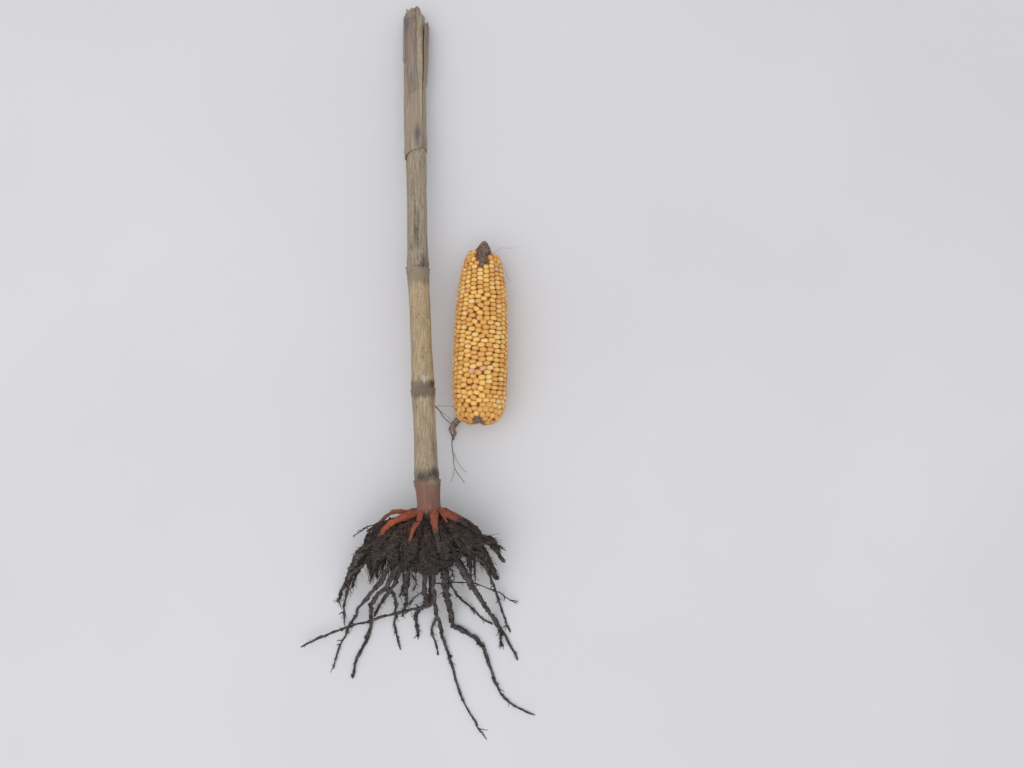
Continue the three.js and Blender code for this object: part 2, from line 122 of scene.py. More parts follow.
def new_finish(name, roughness, shine):
    """A finish with one plain shader: gives the material and its shader."""
    finish = bpy.data.materials.new(name)
    finish.use_nodes = True
    shader = finish.node_tree.nodes["Principled BSDF"]
    shader.inputs["Roughness"].default_value = roughness
    shader.inputs["Specular IOR Level"].default_value = shine
    return finish, shader


def add_node(finish, kind, inputs, output=0, **settings):
    """One node of a finish, its inputs given as values or as other nodes' outputs; gives its output."""
    node = finish.node_tree.nodes.new("ShaderNode" + kind)
    for name, value in settings.items():
        setattr(node, name, value)
    for key, value in inputs.items():
        if isinstance(value, bpy.types.NodeSocket):
            finish.node_tree.links.new(value, node.inputs[key])
        else:
            node.inputs[key].default_value = value
    return node.outputs[output]


def grain(finish, across, along=None, detail=3.0, start=0.0):
    """Noise on the piece's own coordinates: so many grains a metre across, and along Y."""
    place = add_node(finish, "TexCoord", {}, "Object")
    scale = (across, across if along is None else along, across)
    place = add_node(finish, "Mapping", {"Vector": place, "Location": (start,) * 3, "Scale": scale})
    return add_node(finish, "TexNoise", {"Vector": place, "Scale": 1.0, "Detail": detail})


def spread(finish, value, low, high, most=1.0):
    """A value brought from between low and high to between 0 and the most, and held there."""
    ends = {"From Min": low, "From Max": high, "To Max": most}
    return add_node(finish, "MapRange", {"Value": value, **ends})


def mixed(finish, share, first, second):
    """The first colour, with a share of the second in its place."""
    return add_node(finish, "Mix", {0: share, 6: first, 7: second}, 2, data_type="RGBA")


def colour_with(finish, shader, colour):
    """Joins a colour to the shader."""
    finish.node_tree.links.new(colour, shader.inputs["Base Color"])


def mesh_piece(name, points, faces, finish):
    """A smooth mesh of points in millimetres and of arrays of faces with three or four corners."""
    corners = np.concatenate([each.ravel() for each in faces])
    counts = np.concatenate([np.full(len(each), each.shape[1]) for each in faces])
    starts = np.cumsum(counts) - counts
    mesh = bpy.data.meshes.new(name)
    mesh.vertices.add(len(points))
    mesh.vertices.foreach_set("co", placed(points).astype(np.float32).ravel())
    mesh.loops.add(len(corners))
    mesh.loops.foreach_set("vertex_index", corners.astype(np.int32))
    mesh.polygons.add(len(counts))
    mesh.polygons.foreach_set("loop_start", starts.astype(np.int32))
    mesh.polygons.foreach_set("loop_total", counts.astype(np.int32))
    mesh.polygons.foreach_set("use_smooth", np.ones(len(counts), bool))
    mesh.update(calc_edges=True)
    mesh.validate()
    mesh.materials.append(finish)
    piece = bpy.data.objects.new(name, mesh)
    bpy.context.scene.collection.objects.link(piece)
    return piece


def board_finish():
    """Matt and pale, with faint clouds."""
    finish, shader = new_finish("pale_board", 0.8, 0.5)
    clouds = spread(finish, grain(finish, 3), 0.3, 0.7)
    colour_with(finish, shader, mixed(finish, clouds, seen(206, 204, 207), seen(211, 210, 212)))
    return finish


corners = np.array([[-1, -1], [1, -1], [1, 1], [-1, 1]]) * BOARD_HALF
corners = np.c_[corners, np.full(4, BOARD_TOP)]
board = mesh_piece("board", corners, [np.arange(4)[None]], board_finish())


# The stalk
# The cut stem, half dry: jointed, slightly oval, its rind ribbed with fibres and bleached tan
# with mould and old stains. Paint was brushed on its foot, and it is sawn off inside the sheath.
STALK_TOP = 474.0
CROWN_HEIGHT = 46.0
TOP_HEIGHT = 11.5
OVAL = 0.95
JOINTS = [0, 25.9, 108.4, 221.4, 332, STALK_TOP]  # places along the stalk
JOINT_SIDES = [0, -2.0, -6.6, -12.7, -15.8, -18.6]  # and how far to the side the axis is there
STALK_OUTLINE = np.array([
    (-42, 3.2), (-24, 6.4), (-8, 10.2), (0, 11.6), (5, 10.4), (14, 10.6), (22, 11.5), (34, 10.9),
    (58, 10.3), (90, 10.3), (106, 10.7), (122, 10.3), (150, 9.6), (195, 9.7), (216, 10.2),
    (230, 9.9), (250, 9.4), (292, 9.2), (330, 9.5), (385, 8.8), (474, 8.9),
])
SCARS = [(25.9, 1.5, 0.5), (108.4, 1.0, 0.3), (221.4, 1.35, -0.5)]  # place, height, tilt
FURROWS = [35, 100, 60, 100]  # degrees round of the furrow in each length above the first joint
SAWN = 16.0  # length at the top that the ragged cut reaches
CUT_RINGS = [0.88, 0.6, 0.3]  # of the stalk's width, over its cut end
STALK_RINGS = 420
STALK_SIDES = 120
STALK_MASKS = ("stain", "paint", "ripe", "band", "pale", "soiled", "pith")  # for its finish
# Dark marks on the rind: place along, degrees round from +X over the top, half length, half
# width in degrees, and strength
STAINS = [
    (276, 96, 26, 7, 0.8), (262, 80, 17, 6, 0.9), (255, 98, 12, 9, 0.7), (248, 84, 9, 5, 0.8),
    (241, 121, 2.2, 3.5, 1.5), (229, 52, 6, 16, 1.1), (224, 60, 3, 30, 0.8), (213, 172, 12, 12, 1.2),
    (300, 112, 16, 12, 0.35), (318, 60, 14, 20, 0.4), (236, 20, 20, 18, 0.4),
    (112, 70, 4, 60, 0.7), (105, 100, 3.5, 80, 0.7), (114, 30, 3, 20, 1.3), (120, 105, 3, 10, 0.6),
    (93.5, 122, 1.2, 6, 1.4), (96, 40, 9, 22, 0.5), (62, 40, 18, 6, 0.9), (50, 28, 12, 9, 0.7),
    (44, 75, 9, 10, 0.4), (31, 70, 4.2, 38, 1.1), (35, 40, 5, 22, 1.0), (30, 116, 4, 24, 1.3),
    (240, 108, 14, 22, 0.3), (472, 75, 7, 45, 0.6), (18, 20, 16, 22, 0.8), (6, 62, 8, 10, 0.8),
    # The long faint marks at 185 and 5 degrees darken the stalk along its left and right sides.
    (140, 76, 5, 4, 0.6), (126, 60, 6, 5, 0.7), (70, 185, 50, 14, 0.4), (170, 185, 40, 10, 0.4),
    (290, 5, 60, 16, 0.35),
]
# Worn brown bands round the joints: middle, half width and strength
BANDS = [(109.3, 7.6, 0.95), (214, 6.5, 0.5), (32, 6, 0.8), (23, 3, 0.6), (7, 5, 0.35)]


def curve_through(knots, count):
    """Evenly counted points of the smooth line through the knots (a Catmull-Rom curve): between
    two knots a cubic, whose slopes come from the knots before and after them."""
    knots = np.asarray(knots, float)
    share = np.linspace(0, len(knots) - 1, count)
    span = np.minimum(share.astype(int), len(knots) - 2)
    gone = (share - span)[:, None]
    knots = np.vstack([2 * knots[0] - knots[1], knots, 2 * knots[-1] - knots[-2]])
    before, start, end, after = (knots[span + step] for step in range(4))
    bend = (2 * before - 5 * start + 4 * end - after) * gone**2
    bend = bend + (3 * start - before - 3 * end + after) * gone**3
    return start + 0.5 * ((end - before) * gone + bend)


def unevenness(points, size, seed):
    """A random landscape between about -1 and 1: the sum of slanted sine waves of about one
    length, with directions and starts drawn by the seed."""
    draw = np.random.default_rng(seed)
    slant = draw.normal(size=(3, 20))
    slant *= 2 * np.pi / (size * draw.uniform(0.6, 1.5, 20) * np.linalg.norm(slant, axis=0))
    waves = np.sin(np.asarray(points) @ slant + draw.uniform(0, 2 * np.pi, 20))
    return waves.sum(-1) / np.sqrt(20)


def bell(value, middle, reach):
    """1 at the middle, dying away to both sides over the reach."""
    return np.exp(-(((value - middle) / reach) ** 2))


def tube_faces(rings, sides, tubes=1):
    """Faces of closed tubes whose points are a start pole, rings of points and an end pole:
    squares between neighbouring rings, and a fan of triangles at both poles."""
    side = np.arange(sides)
    after = (side + 1) % sides
    ring = 1 + sides * np.arange(rings - 1)[:, None]
    last = 1 + sides * (rings - 1)
    squares = np.stack([ring + side, ring + after, ring + sides + after, ring + sides + side], -1)
    pole = np.zeros(sides, int)
    fans = np.stack([pole, 1 + after, 1 + side], -1)
    fans = np.vstack([fans, np.stack([pole + last + sides, last + side, last + after], -1)])
    shift = (last + sides + 1) * np.arange(tubes)[:, None, None]
    return [(squares.reshape(1, -1, 4) + shift).reshape(-1, 4), (fans[None] + shift).reshape(-1, 3)]


def stalk_centre(y):
    """The stalk's axis: straight from joint to joint in plan, and sloping down to its cut top."""
    height = CROWN_HEIGHT + (TOP_HEIGHT - CROWN_HEIGHT) * np.maximum(y, 0) / STALK_TOP
    return np.stack([np.interp(y, JOINTS, JOINT_SIDES), y, height], -1)


def round_axis(y, turn, radius, along):
    """Places on a cylinder, shrunk along its axis, for patterns that run lengthwise."""
    return np.stack([radius * np.cos(turn), along * y, radius * np.sin(turn)], -1)


def stalk_relief(y, turn):
    """How far the rind stands out: a scar ridge at each joint with a pinched neck above it, a
    shallow furrow on one side of each length, wrinkles that run lengthwise and small dents."""
    round_stalk = round_axis(y, turn, 10, 0.05)
    relief = 0.16 * unevenness(round_stalk, 3.5, 1) + 0.1 * unevenness(round_stalk, 1.4, 2)
    relief += 0.18 * unevenness(round_stalk * [1, 8, 1], 14, 3)
    for place, height, tilt in SCARS:
        wave = place + tilt * np.cos(turn) + 0.35 * unevenness(round_stalk * [1, 0, 1], 6, int(place))
        relief += height * bell(y, wave, 1.1) + 0.5 * height * bell(y, wave - 3.4, 1.2)
        relief += 0.35 * height * bell(y, wave + 6, 3.5) - 0.45 * bell(y, wave + 2.2, 1.0)
    for low, high, side in zip(JOINTS[1:], JOINTS[2:], FURROWS):
        share = np.clip((y - low) / (high - low), 0, 1)
        relief -= 0.8 * np.sin(np.pi * share) * (1 - 0.6 * share) * bell(turn, np.radians(side), 0.32)
    return relief


def stalk_masks(y, turn):
    """Six shares over the stalk: its dark stains, its paint, the yellow of riper rind, the brown
    bands at its joints, pale skin above one, painted light on the rind in the sheath's split,
    and soil on its foot."""
    degrees = np.degrees(turn) % 360
    jagged = 1.4 * unevenness(round_axis(y, turn, 12, 0.1), 3, 4)
    stain = 0.8 * bell(y + 0.5 * jagged, SCARS[2][0] + 0.8, 0.7) * (0.6 + 0.4 * np.sin(5 * turn))
    for place, round_place, length, width, strength in STAINS:
        aside = np.abs((degrees - round_place + 180) % 360 - 180)
        stain += strength * np.exp(-(((y + 0.7 * jagged - place) / length) ** 2) - (aside / width) ** 2)
    paint = np.clip((27.5 - y) / 5, 0, 1) * np.interp(y, [0, 22], [1.1, 0.85])
    paint += 0.7 * bell(y, 27, 2.2) * (degrees > 85) * (degrees < 215)
    ripe = np.interp(y, [28, 60, 118, 135, 205, 216, 230, 330], [0.4, 0.5, 0.9, 1, 0.9, 0.3, 0.15, 0.35])
    band = sum(strength * np.clip((half - np.abs(y + jagged - middle)) / 2 + 0.5, 0, 1)
               for middle, half, strength in BANDS)
    pale = bell(y, 119.5, 5) * bell(degrees, 74, 16)
    # Painted light: the rind in the sheath's narrow split is made paler, to lift the shade that falls there.
    pale += np.interp(y, [352, 362, 430, 474], [0, 0.7, 0.4, 0]) * bell(degrees, 56, 30)
    soiled = np.clip((0.5 - y - jagged) / 2, 0, 1)
    return np.clip(stain, 0, 1.5), np.clip(paint, 0, 1), ripe, band, pale, soiled


def product(finish, first, second):
    """One value times another."""
    return add_node(finish, "Math", {0: first, 1: second}, operation="MULTIPLY")


def total(finish, first, second):
    """One value and another together."""
    return add_node(finish, "Math", {0: first, 1: second}, operation="ADD")


def kept_share(finish, name):
    """A share that is kept on the piece's points by that name."""
    return add_node(finish, "Attribute", {}, "Fac", attribute_name=name)


def raise_with(finish, shader, height, depth):
    """Bump from a height between 0 and 1 that stands for a depth in millimetres."""
    normal = add_node(finish, "Bump", {"Height": height, "Distance": depth * MM})
    finish.node_tree.links.new(normal, shader.inputs["Normal"])


def rind_finish():
    """Dry rind: tan to yellow, with fibres, brown bands, mould in the stains and thin orange paint
    where it was brushed. The cut end shows its pale pith."""
    finish, shader = new_finish("dry_rind", 0.62, 0.35)
    stain, paint, ripe, band, pale, soiled, pith = (kept_share(finish, name) for name in STALK_MASKS)
    fibres = grain(finish, 1100, 34)
    speckle = grain(finish, 900, 420, start=4.0)
    blotch = grain(finish, 160, 45, start=2.0)
    tan = mixed(finish, spread(finish, fibres, 0.35, 0.68), seen(119, 109, 98), seen(162, 149, 133))
    yellow = mixed(finish, spread(finish, fibres, 0.32, 0.68), seen(146, 128, 99), seen(186, 164, 130))
    rind = mixed(finish, ripe, tan, yellow)
    warm = product(finish, spread(finish, blotch, 0.52, 0.66), ripe)
    rind = mixed(finish, product(finish, warm, 0.3), rind, seen(172, 136, 98))
    # Pale skin above a joint, and painted light on the rind in the sheath's split.
    rind = mixed(finish, product(finish, pale, 0.8), rind, seen(205, 192, 166))
    worn = mixed(finish, spread(finish, speckle, 0.4, 0.62), seen(102, 88, 76), seen(142, 125, 107))
    rind = mixed(finish, product(finish, band, 0.85), rind, worn)
    grey = spread(finish, blotch, 0.48, 0.3, 0.5)
    rind = mixed(finish, grey, rind, seen(116, 109, 99))
    rind = mixed(finish, spread(finish, speckle, 0.57, 0.68, 0.65), rind, seen(100, 88, 74))
    painted = mixed(finish, spread(finish, fibres, 0.35, 0.65), seen(104, 80, 69), seen(138, 94, 79))
    ragged = total(finish, paint, product(finish, fibres, 0.6))
    rind = mixed(finish, spread(finish, ragged, 0.5, 1.25), rind, painted)
    mould = product(finish, stain, speckle)
    rind = mixed(finish, spread(finish, mould, 0.1, 0.7), rind, seen(72, 63, 57))
    rind = mixed(finish, soiled, rind, mixed(finish, speckle, seen(47, 43, 41), seen(77, 70, 65)))
    colour_with(finish, shader, mixed(finish, pith, rind, seen(186, 174, 148)))
    raise_with(finish, shader, fibres, 0.35)
    return finish


def add_masks(piece, masks):
    """Keeps shares on the points of a piece, by name, for its finish to read."""
    for name, values in masks.items():
        attribute = piece.data.attributes.new(name, "FLOAT", "POINT")
        attribute.data.foreach_set("value", np.asarray(values, np.float32))


def make_stalk():
    """The stalk: rings of points round its axis, at its outline's width plus its relief, and
    narrowing rings that close its ragged cut end."""
    outline = curve_through(STALK_OUTLINE, 400)
    whole = STALK_RINGS - len(CUT_RINGS)
    level = np.r_[np.linspace(-CROWN_DEPTH, STALK_TOP, whole), np.full(len(CUT_RINGS), STALK_TOP)][:, None]
    closing = np.r_[np.ones(whole), CUT_RINGS][:, None]
    turn = 2 * np.pi - 2 * np.pi * np.arange(STALK_SIDES)[None] / STALK_SIDES
    y, turn = np.broadcast_arrays(level, turn)
    half = np.interp(y, outline[:, 0], outline[:, 1]) + stalk_relief(y, turn)
    points = stalk_centre(y)
    points[..., 0] += closing * half * np.cos(turn)
    points[..., 2] += closing * OVAL * half * np.sin(turn)
    sawn = np.clip((y - STALK_TOP + SAWN) / SAWN, 0, 1)
    torn = 4.5 * np.clip((np.cos(turn) - 0.35) / 0.6, 0, 1) + 1.2 * unevenness(points * [1, 0, 1], 4, 6)
    torn = closing * torn + (1 - closing) * torn.mean()
    points[..., 1] -= sawn * torn + 0.8 * (1 - closing)
    poles = np.stack([stalk_centre(np.array(-CROWN_DEPTH - 1)), points[-1].mean(0) - [0, 0.5, 0]])
    points = np.vstack([poles[:1], points.reshape(-1, 3), poles[1:]])
    stalk = mesh_piece("stalk_rind", points, tube_faces(STALK_RINGS, STALK_SIDES), rind_finish())
    pith = np.clip(4 * (1 - closing), 0, 1) + 0 * turn
    masks = zip(STALK_MASKS, (*stalk_masks(y, turn), pith))
    add_masks(stalk, {name: np.pad(mask.ravel(), 1, "edge") for name, mask in masks})
    return stalk


stalk = make_stalk()
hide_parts("stalk")
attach(stalk, "root")


# The leaf sheath
# The dry foot of the topmost leaf, a ribbed papery sleeve that grows from the last joint and
# hugs the stalk. It has split open above, and an older torn layer still clings to its left.
SHEATH_FROM = 331.0
SHEATH_TO = 467.0
SHEATH_RADIUS = 10.9
SHEATH_THICK = 0.55
SHEATH_ROUND = 11.0  # millimetres round the sleeve to a radian
RADIAN = 57.3  # degrees
TORN_FROM = 391.0
TORN_THICK = 0.4
# The split: places along, and the degrees round of its left and of its right margin
SPLIT_ALONG = [350, 360, 368, 385, 397, 412, 425, 440, 470]
SPLIT_LEFT = [42, 46, 56, 67, 72, 76, 79, 82, 83]
SPLIT_RIGHT = [48, 46, 40, 36, 35, 35, 35, 35, 35]
# How far the right side stands out at places along: a foot, a waist and a strip that flares
SIDE_ALONG = [331, 346, 355, 398, 404, 421, 441, 459]
SIDE_OUT = [-0.4, -0.3, -1.3, -1.3, 0.1, 1.3, 1.7, 2.1]
# How far the sleeve's foot rises, over degrees round
LIP_ROUND = [-180, -150, -60, 0, 45, 75, 136, 150, 168, 180]
LIP_RISE = [-4, -1, 2, 4, 6, 3.4, 0, -2, -5, -4]


def sheet_faces(rows, columns):
    """Faces of a closed sheet: an outer grid, the same grid inside turned round, and strips
    along its four edges. The columns run so that the outer side faces out."""
    at = np.arange(rows * columns).reshape(rows, columns)
    outer = np.stack([at[:-1, :-1], at[:-1, 1:], at[1:, 1:], at[1:, :-1]], -1).reshape(-1, 4)
    rim = np.concatenate([at[0], at[1:, -1], at[-1, -2::-1], at[-2:0:-1, 0]])
    after = np.roll(rim, -1)
    strips = np.stack([after, rim, rim + at.size, after + at.size], -1)
    return [outer, outer[:, ::-1] + at.size, strips]


def sheath_radius(y, turn):
    """The sleeve's outside: it hugs the stalk at its foot and on the right, up to the flaring strip."""
    side = np.interp(y, SIDE_ALONG, SIDE_OUT) * np.clip(np.cos(turn), 0, 1)
    foot = 0.4 * np.clip(-np.cos(turn), 0, 1) - 0.9 * np.clip(np.sin(turn), 0, 1)
    return SHEATH_RADIUS + side + bell(y, SHEATH_FROM + 2, 6) * foot


def kept_up(points, lowest=0.0):
    """The same points, with none below the lowest height."""
    points[..., 2] = np.maximum(points[..., 2], lowest)
    return points


def wrapped(y, turn, radius, thick):
    """Points of a sleeve round the stalk's axis: its outside, then its inside."""
    centre = stalk_centre(y)
    layers = []
    for outward in (radius, radius - thick):
        points = centre.copy()
        points[..., 0] += outward * np.cos(turn)
        points[..., 2] += outward * np.sin(turn)
        layers.append(kept_up(points).reshape(-1, 3))
    return np.vstack(layers)


def sleeve_relief(y, turn, seed):
    """Ribs that run lengthwise, close and even, over slower wrinkles and puckers."""
    round_stalk = round_axis(y, turn, SHEATH_ROUND, 0.04)
    ribs = 0.07 * np.sin(62 * turn + 1.5 * unevenness(round_stalk, 7, seed))
    wrinkles = 0.22 * unevenness(round_stalk, 4.5, seed + 1)
    return ribs + wrinkles + 0.2 * unevenness(round_stalk * [1, 5, 1], 12, seed + 2)


def sheath_finish():
    """Weathered papery leaf: brown-grey ribs, a rusty cast above, painted shade in the same colours
    on the curled right strip, and a few grey blots.
    """
    finish, shader = new_finish("dry_sheath", 0.78, 0.25)
    shade = kept_share(finish, "shade")
    blot = kept_share(finish, "blot")
    ribs = grain(finish, 1000, 22, start=7.0)
    clouds = grain(finish, 130, 40, start=3.0)
    paper = mixed(finish, spread(finish, ribs, 0.35, 0.66), seen(128, 116, 102), seen(166, 152, 133))
    paper = mixed(finish, spread(finish, clouds, 0.42, 0.65), paper, seen(152, 134, 116))
    # Rusty paper: a cast towards the top, and painted shade on the curled right strip.
    rusty_and_shaded = mixed(finish, spread(finish, ribs, 0.35, 0.7), seen(106, 92, 86), seen(144, 126, 117))
    paper = mixed(finish, shade, paper, rusty_and_shaded)
    dots = grain(finish, 800, 500, start=5.0)
    paper = mixed(finish, spread(finish, dots, 0.6, 0.75, 0.5), paper, seen(100, 88, 80))
    worn = product(finish, blot, spread(finish, clouds, 0.25, 0.6))
    paper = mixed(finish, spread(finish, worn, 0.15, 0.9), paper, seen(106, 98, 101))
    colour_with(finish, shader, paper)
    raise_with(finish, shader, ribs, 0.3)
    return finish


def ragged_edge(turn, size, seed):
    """A random landscape along an edge that runs round the sleeve."""
    return unevenness(np.stack([SHEATH_ROUND * turn, 0 * turn, 0 * turn], -1), size, seed)


def add_weather_and_shade(piece, shade, blot):
    """Keeps the rusty cast, the painted shade on the curled right strip and the grey blots of a
    sheet, the same outside and inside.
    """
    masks = {"shade": np.clip(shade, 0, 1), "blot": blot}
    add_masks(piece, {name: np.tile(mask.ravel(), 2) for name, mask in masks.items()})


def make_sheath(finish):
    """The sleeve, from margin to margin, with a ragged top edge. Its left margin lies over its
    right one below the split."""
    rows, columns = 190, 190
    share = np.linspace(0, 1, rows)[:, None]
    across = np.linspace(0, 1, columns)[None]
    level = SHEATH_FROM + (SHEATH_TO - SHEATH_FROM) * share
    low = np.radians(np.interp(level, SPLIT_ALONG, SPLIT_LEFT) + 0.8 * np.sin(23 * share))
    high = np.radians(360 + np.interp(level, SPLIT_ALONG, SPLIT_RIGHT) + 0.8 * np.sin(17 * share))
    turn = high + (low - high) * across
    ragged = ragged_edge(turn, 5, 31)
    spikes = ragged_edge(turn, 1.6, 32)
    top = 2 * np.sin(turn - 0.9) - 5 * (turn > 5.6) * (turn - 5.6) + 1.6 * ragged + 0.8 * spikes
    aside = (np.degrees(turn) + 180) % 360 - 180
    foot = np.interp(aside, LIP_ROUND, LIP_RISE) + 0.4 * ragged
    y = level + share**6 * top + (1 - share) ** 8 * foot
    parted = np.clip((y - 362) / 12, 0, 1)
    margin = np.minimum(np.abs(turn - low), np.abs(high - turn)) * SHEATH_ROUND
    lip = (0.5 - 0.9 * parted) * np.exp(-margin / 3) + 0.35 * parted * np.exp(-margin / 0.7)
    left = (across > 0.5) * lip
    right = (across < 0.5) * 0.4 * np.exp(-margin / 2.5)
    radius = sheath_radius(y, turn) + sleeve_relief(y, turn, 40) + left - right
    points = wrapped(y, turn, radius, SHEATH_THICK)
    sheath = mesh_piece("dry_leaf_sheath", points, sheet_faces(rows, columns), finish)
    # Rusty cast towards the top, and painted shade on the strip that curls out along the right margin.
    shade = np.clip((y - 418) / 50, 0, 1) * 0.5 + 0.45 * (turn > 5.9) * np.clip((y - 392) / 12, 0, 1)
    blot = 1.3 * bell(y, 347, 8) * bell(aside, 70, 18) + 0.7 * bell(y, 348, 12) * bell(aside, 66, 28)
    blot += 0.6 * bell(y, 338, 5) * bell(aside, 50, 30) + 0.5 * bell(y, 385, 9) * bell(aside, 120, 20)
    add_weather_and_shade(sheath, shade, blot)
    return sheath


def make_torn_layer(finish):
    """The older layer: a strip up the split's left side that widens over the sleeve's left, torn
    across its lower edge."""
    rows, columns = 90, 90
    share = np.linspace(0, 1, rows)[:, None]
    across = np.linspace(0, 1, columns)[None]
    level = TORN_FROM + (SHEATH_TO - 1 - TORN_FROM) * share
    right = np.interp(level, SPLIT_ALONG, SPLIT_LEFT) + 1.5
    left = np.interp(share, [0, 0.36, 0.5, 1], [115, 136, 182, 188])
    turn = np.radians(left + (right - left) * across + 2 * np.sin(9 * share) * (1 - across))
    top = 1.3 * ragged_edge(turn, 4, 51) + 0.8 * ragged_edge(turn, 1.5, 52) + 2 * (across > 0.85)
    top -= 2 + 4 * np.clip((0.4 - across) / 0.4, 0, 1)
    foot = 4 * (across - 0.5) + 2.0 * ragged_edge(turn, 4, 53) + 1.2 * ragged_edge(turn, 1.5, 54)
    y = level + share**6 * top + (1 - share) ** 4 * foot
    radius = sheath_radius(y, turn) + 0.5 + sleeve_relief(y, turn, 60)
    margin = np.minimum(across, 1 - across) * (left - right) / RADIAN * SHEATH_ROUND
    radius += 0.5 * np.exp(-margin / 0.8) * (across < 0.5) - 0.3 * np.exp(-share * 25)
    points = wrapped(y, turn, radius, TORN_THICK)
    torn = mesh_piece("torn_sheath_layer", points, sheet_faces(rows, columns), finish)
    shade = 0.35 + 0.5 * share * (np.degrees(turn) < 150)
    round_left = np.degrees(turn)
    blot = 0.5 * bell(share, 0.2, 0.25) + 1.3 * np.exp(-np.abs(round_left - 137) / 3) * (share > 0.3)
    blot += 2.0 * bell(y, 461, 10) * bell(round_left, 130, 15)
    add_weather_and_shade(torn, shade, blot)
    return torn


SHEATH_FINISH = sheath_finish()
for piece, node in ((make_sheath(SHEATH_FINISH), "leaf_sheath"),
                    (make_torn_layer(SHEATH_FINISH), "leaf_sheath_torn_layer")):
    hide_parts(node)
    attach(piece, "root")


# The brace roots
# Stout roots that leave the stalk in a whorl just above the soil and arch down into it. Orange
# paint was brushed over them from above; further out they are caked with soil.
BRACE_LEVEL = -2.5
BRACES = {  # node: places that its middle line passes on its way out from the stalk, thickness
    "brace_root_arch": ([(-14, 0, 48), (-19, -1.6, 48), (-25, -0.7, 50), (-31.6, -1.1, 50),
                         (-37.4, -4.4, 49), (-43, -9.6, 46), (-49, -15, 43), (-56, -20, 41)], 4.0),
    "brace_root_left": ([(-10.5, -2.8, 50), (-18, -4.6, 55), (-24, -6.4, 59), (-31, -9.4, 61),
                         (-37, -14.3, 61), (-42, -20, 58), (-45.5, -25, 53)], 6.8),
    "brace_root_centre_left": ([(-5.5, -1, 54), (-8.1, -8.6, 64), (-12.4, -15, 74), (-15, -24, 76)], 5.2),
    "brace_root_centre": ([(5.2, -0.9, 54), (7.2, -8.3, 66), (9.7, -19.4, 74), (12.5, -32, 77)], 7.0),
    "brace_root_small": ([(10.5, -0.9, 53), (14.4, -5.4, 60), (17.6, -10, 63)], 3.8),
    "brace_root_right": ([(11, -0.5, 50), (19.6, -4.3, 57), (29, -8.4, 61), (35, -12, 60)], 6.8),
    "brace_root_right_shoulder": ([(12, 0, 47), (21, -2.2, 53), (30, -5.6, 56), (38, -10.4, 54),
                                   (46.5, -19, 46)], 5.0),
    "brace_root_under_left": ([(-20, -5.5, 37), (-42, -24, 24)], 5.5),
    "brace_root_under": ([(-2, -6.5, 26), (-4, -26, 10)], 6.0),
    "brace_root_under_right": ([(17, -5.5, 34), (36, -22, 22)], 5.5),
}
PAINT = {  # how thick the paint is, where along the root it is brightest and where it gives out
    "brace_root_arch": (0.76, 0.2, 0.75), "brace_root_left": (1.0, 0.56, 0.8),
    "brace_root_centre_left": (0.84, 0.6, 0.9), "brace_root_centre": (0.86, 0.3, 0.6),
    "brace_root_small": (0.74, 0.4, 0.9), "brace_root_right": (0.76, 0.35, 0.62),
    "brace_root_right_shoulder": (0.72, 0.3, 0.55),
}
THIN_PAINT = (0.6, 0.3, 0.5)  # on the roots underneath


def unit(directions):
    """The same directions, each with a length of 1."""
    return directions / np.linalg.norm(directions, axis=-1, keepdims=True)


def tube_points(paths, radii, sides):
    """Points of closed tubes along paths: a start pole, a ring round each station at its
    radius (one for the ring, or one for each of its sides), and an end pole."""
    ahead = unit(np.gradient(paths, axis=1))
    skew = np.cross(paths[:, -1:] - paths[:, :1], [0.31, 0.2, 0.93])
    up = unit(np.cross(ahead, skew))
    over = np.cross(up, ahead)
    turn = 2 * np.pi * np.arange(sides)[:, None] / sides
    radii = radii if radii.ndim == 3 else radii[..., None]
    rings = over[:, :, None] * np.cos(turn) + up[:, :, None] * np.sin(turn)
    rings = paths[:, :, None] + rings * radii[..., None]
    first = paths[:, :1] - ahead[:, :1] * radii[:, :1, :1] * 0.5
    last = paths[:, -1:] + ahead[:, -1:] * radii[:, -1:, :1]
    return np.concatenate([first, rings.reshape(len(paths), -1, 3), last], 1)


def one_tube(path, radii, sides):
    """Points of a single closed tube."""
    return tube_points(path[None], radii[None], sides)[0]


def wander(draw, count, stations, reach):
    """Smooth sideways drift for many lines at once: sines of one to four half waves with drawn
    sizes and starts, growing from nothing at the start of each line."""
    share = np.linspace(0, 1, stations)[None, :, None, None]
    waves = np.array([1, 1.7, 2.6, 4.0])
    size = draw.normal(size=(count, 1, 3, 4)) * reach / waves
    phase = draw.uniform(0, 2 * np.pi, (count, 1, 3, 4))
    drift = size * (np.sin(np.pi * waves * share + phase) - np.sin(phase))
    return drift.sum(-1) * share[..., 0] ** 0.5


def knobbly_tube(path, radii, sides, seed, knobs, wrinkles):
    """One closed tube whose skin wanders in and out: slow knobs and fine wrinkles, as shares
    of its radius."""
    smooth = one_tube(path, radii, sides)[1:-1]
    relief = knobs * unevenness(smooth, 5, seed) + wrinkles * unevenness(smooth, 1.6, seed + 1)
    radii = radii[:, None] * (1 + relief.reshape(len(path), sides))
    return kept_up(one_tube(path, radii, sides))


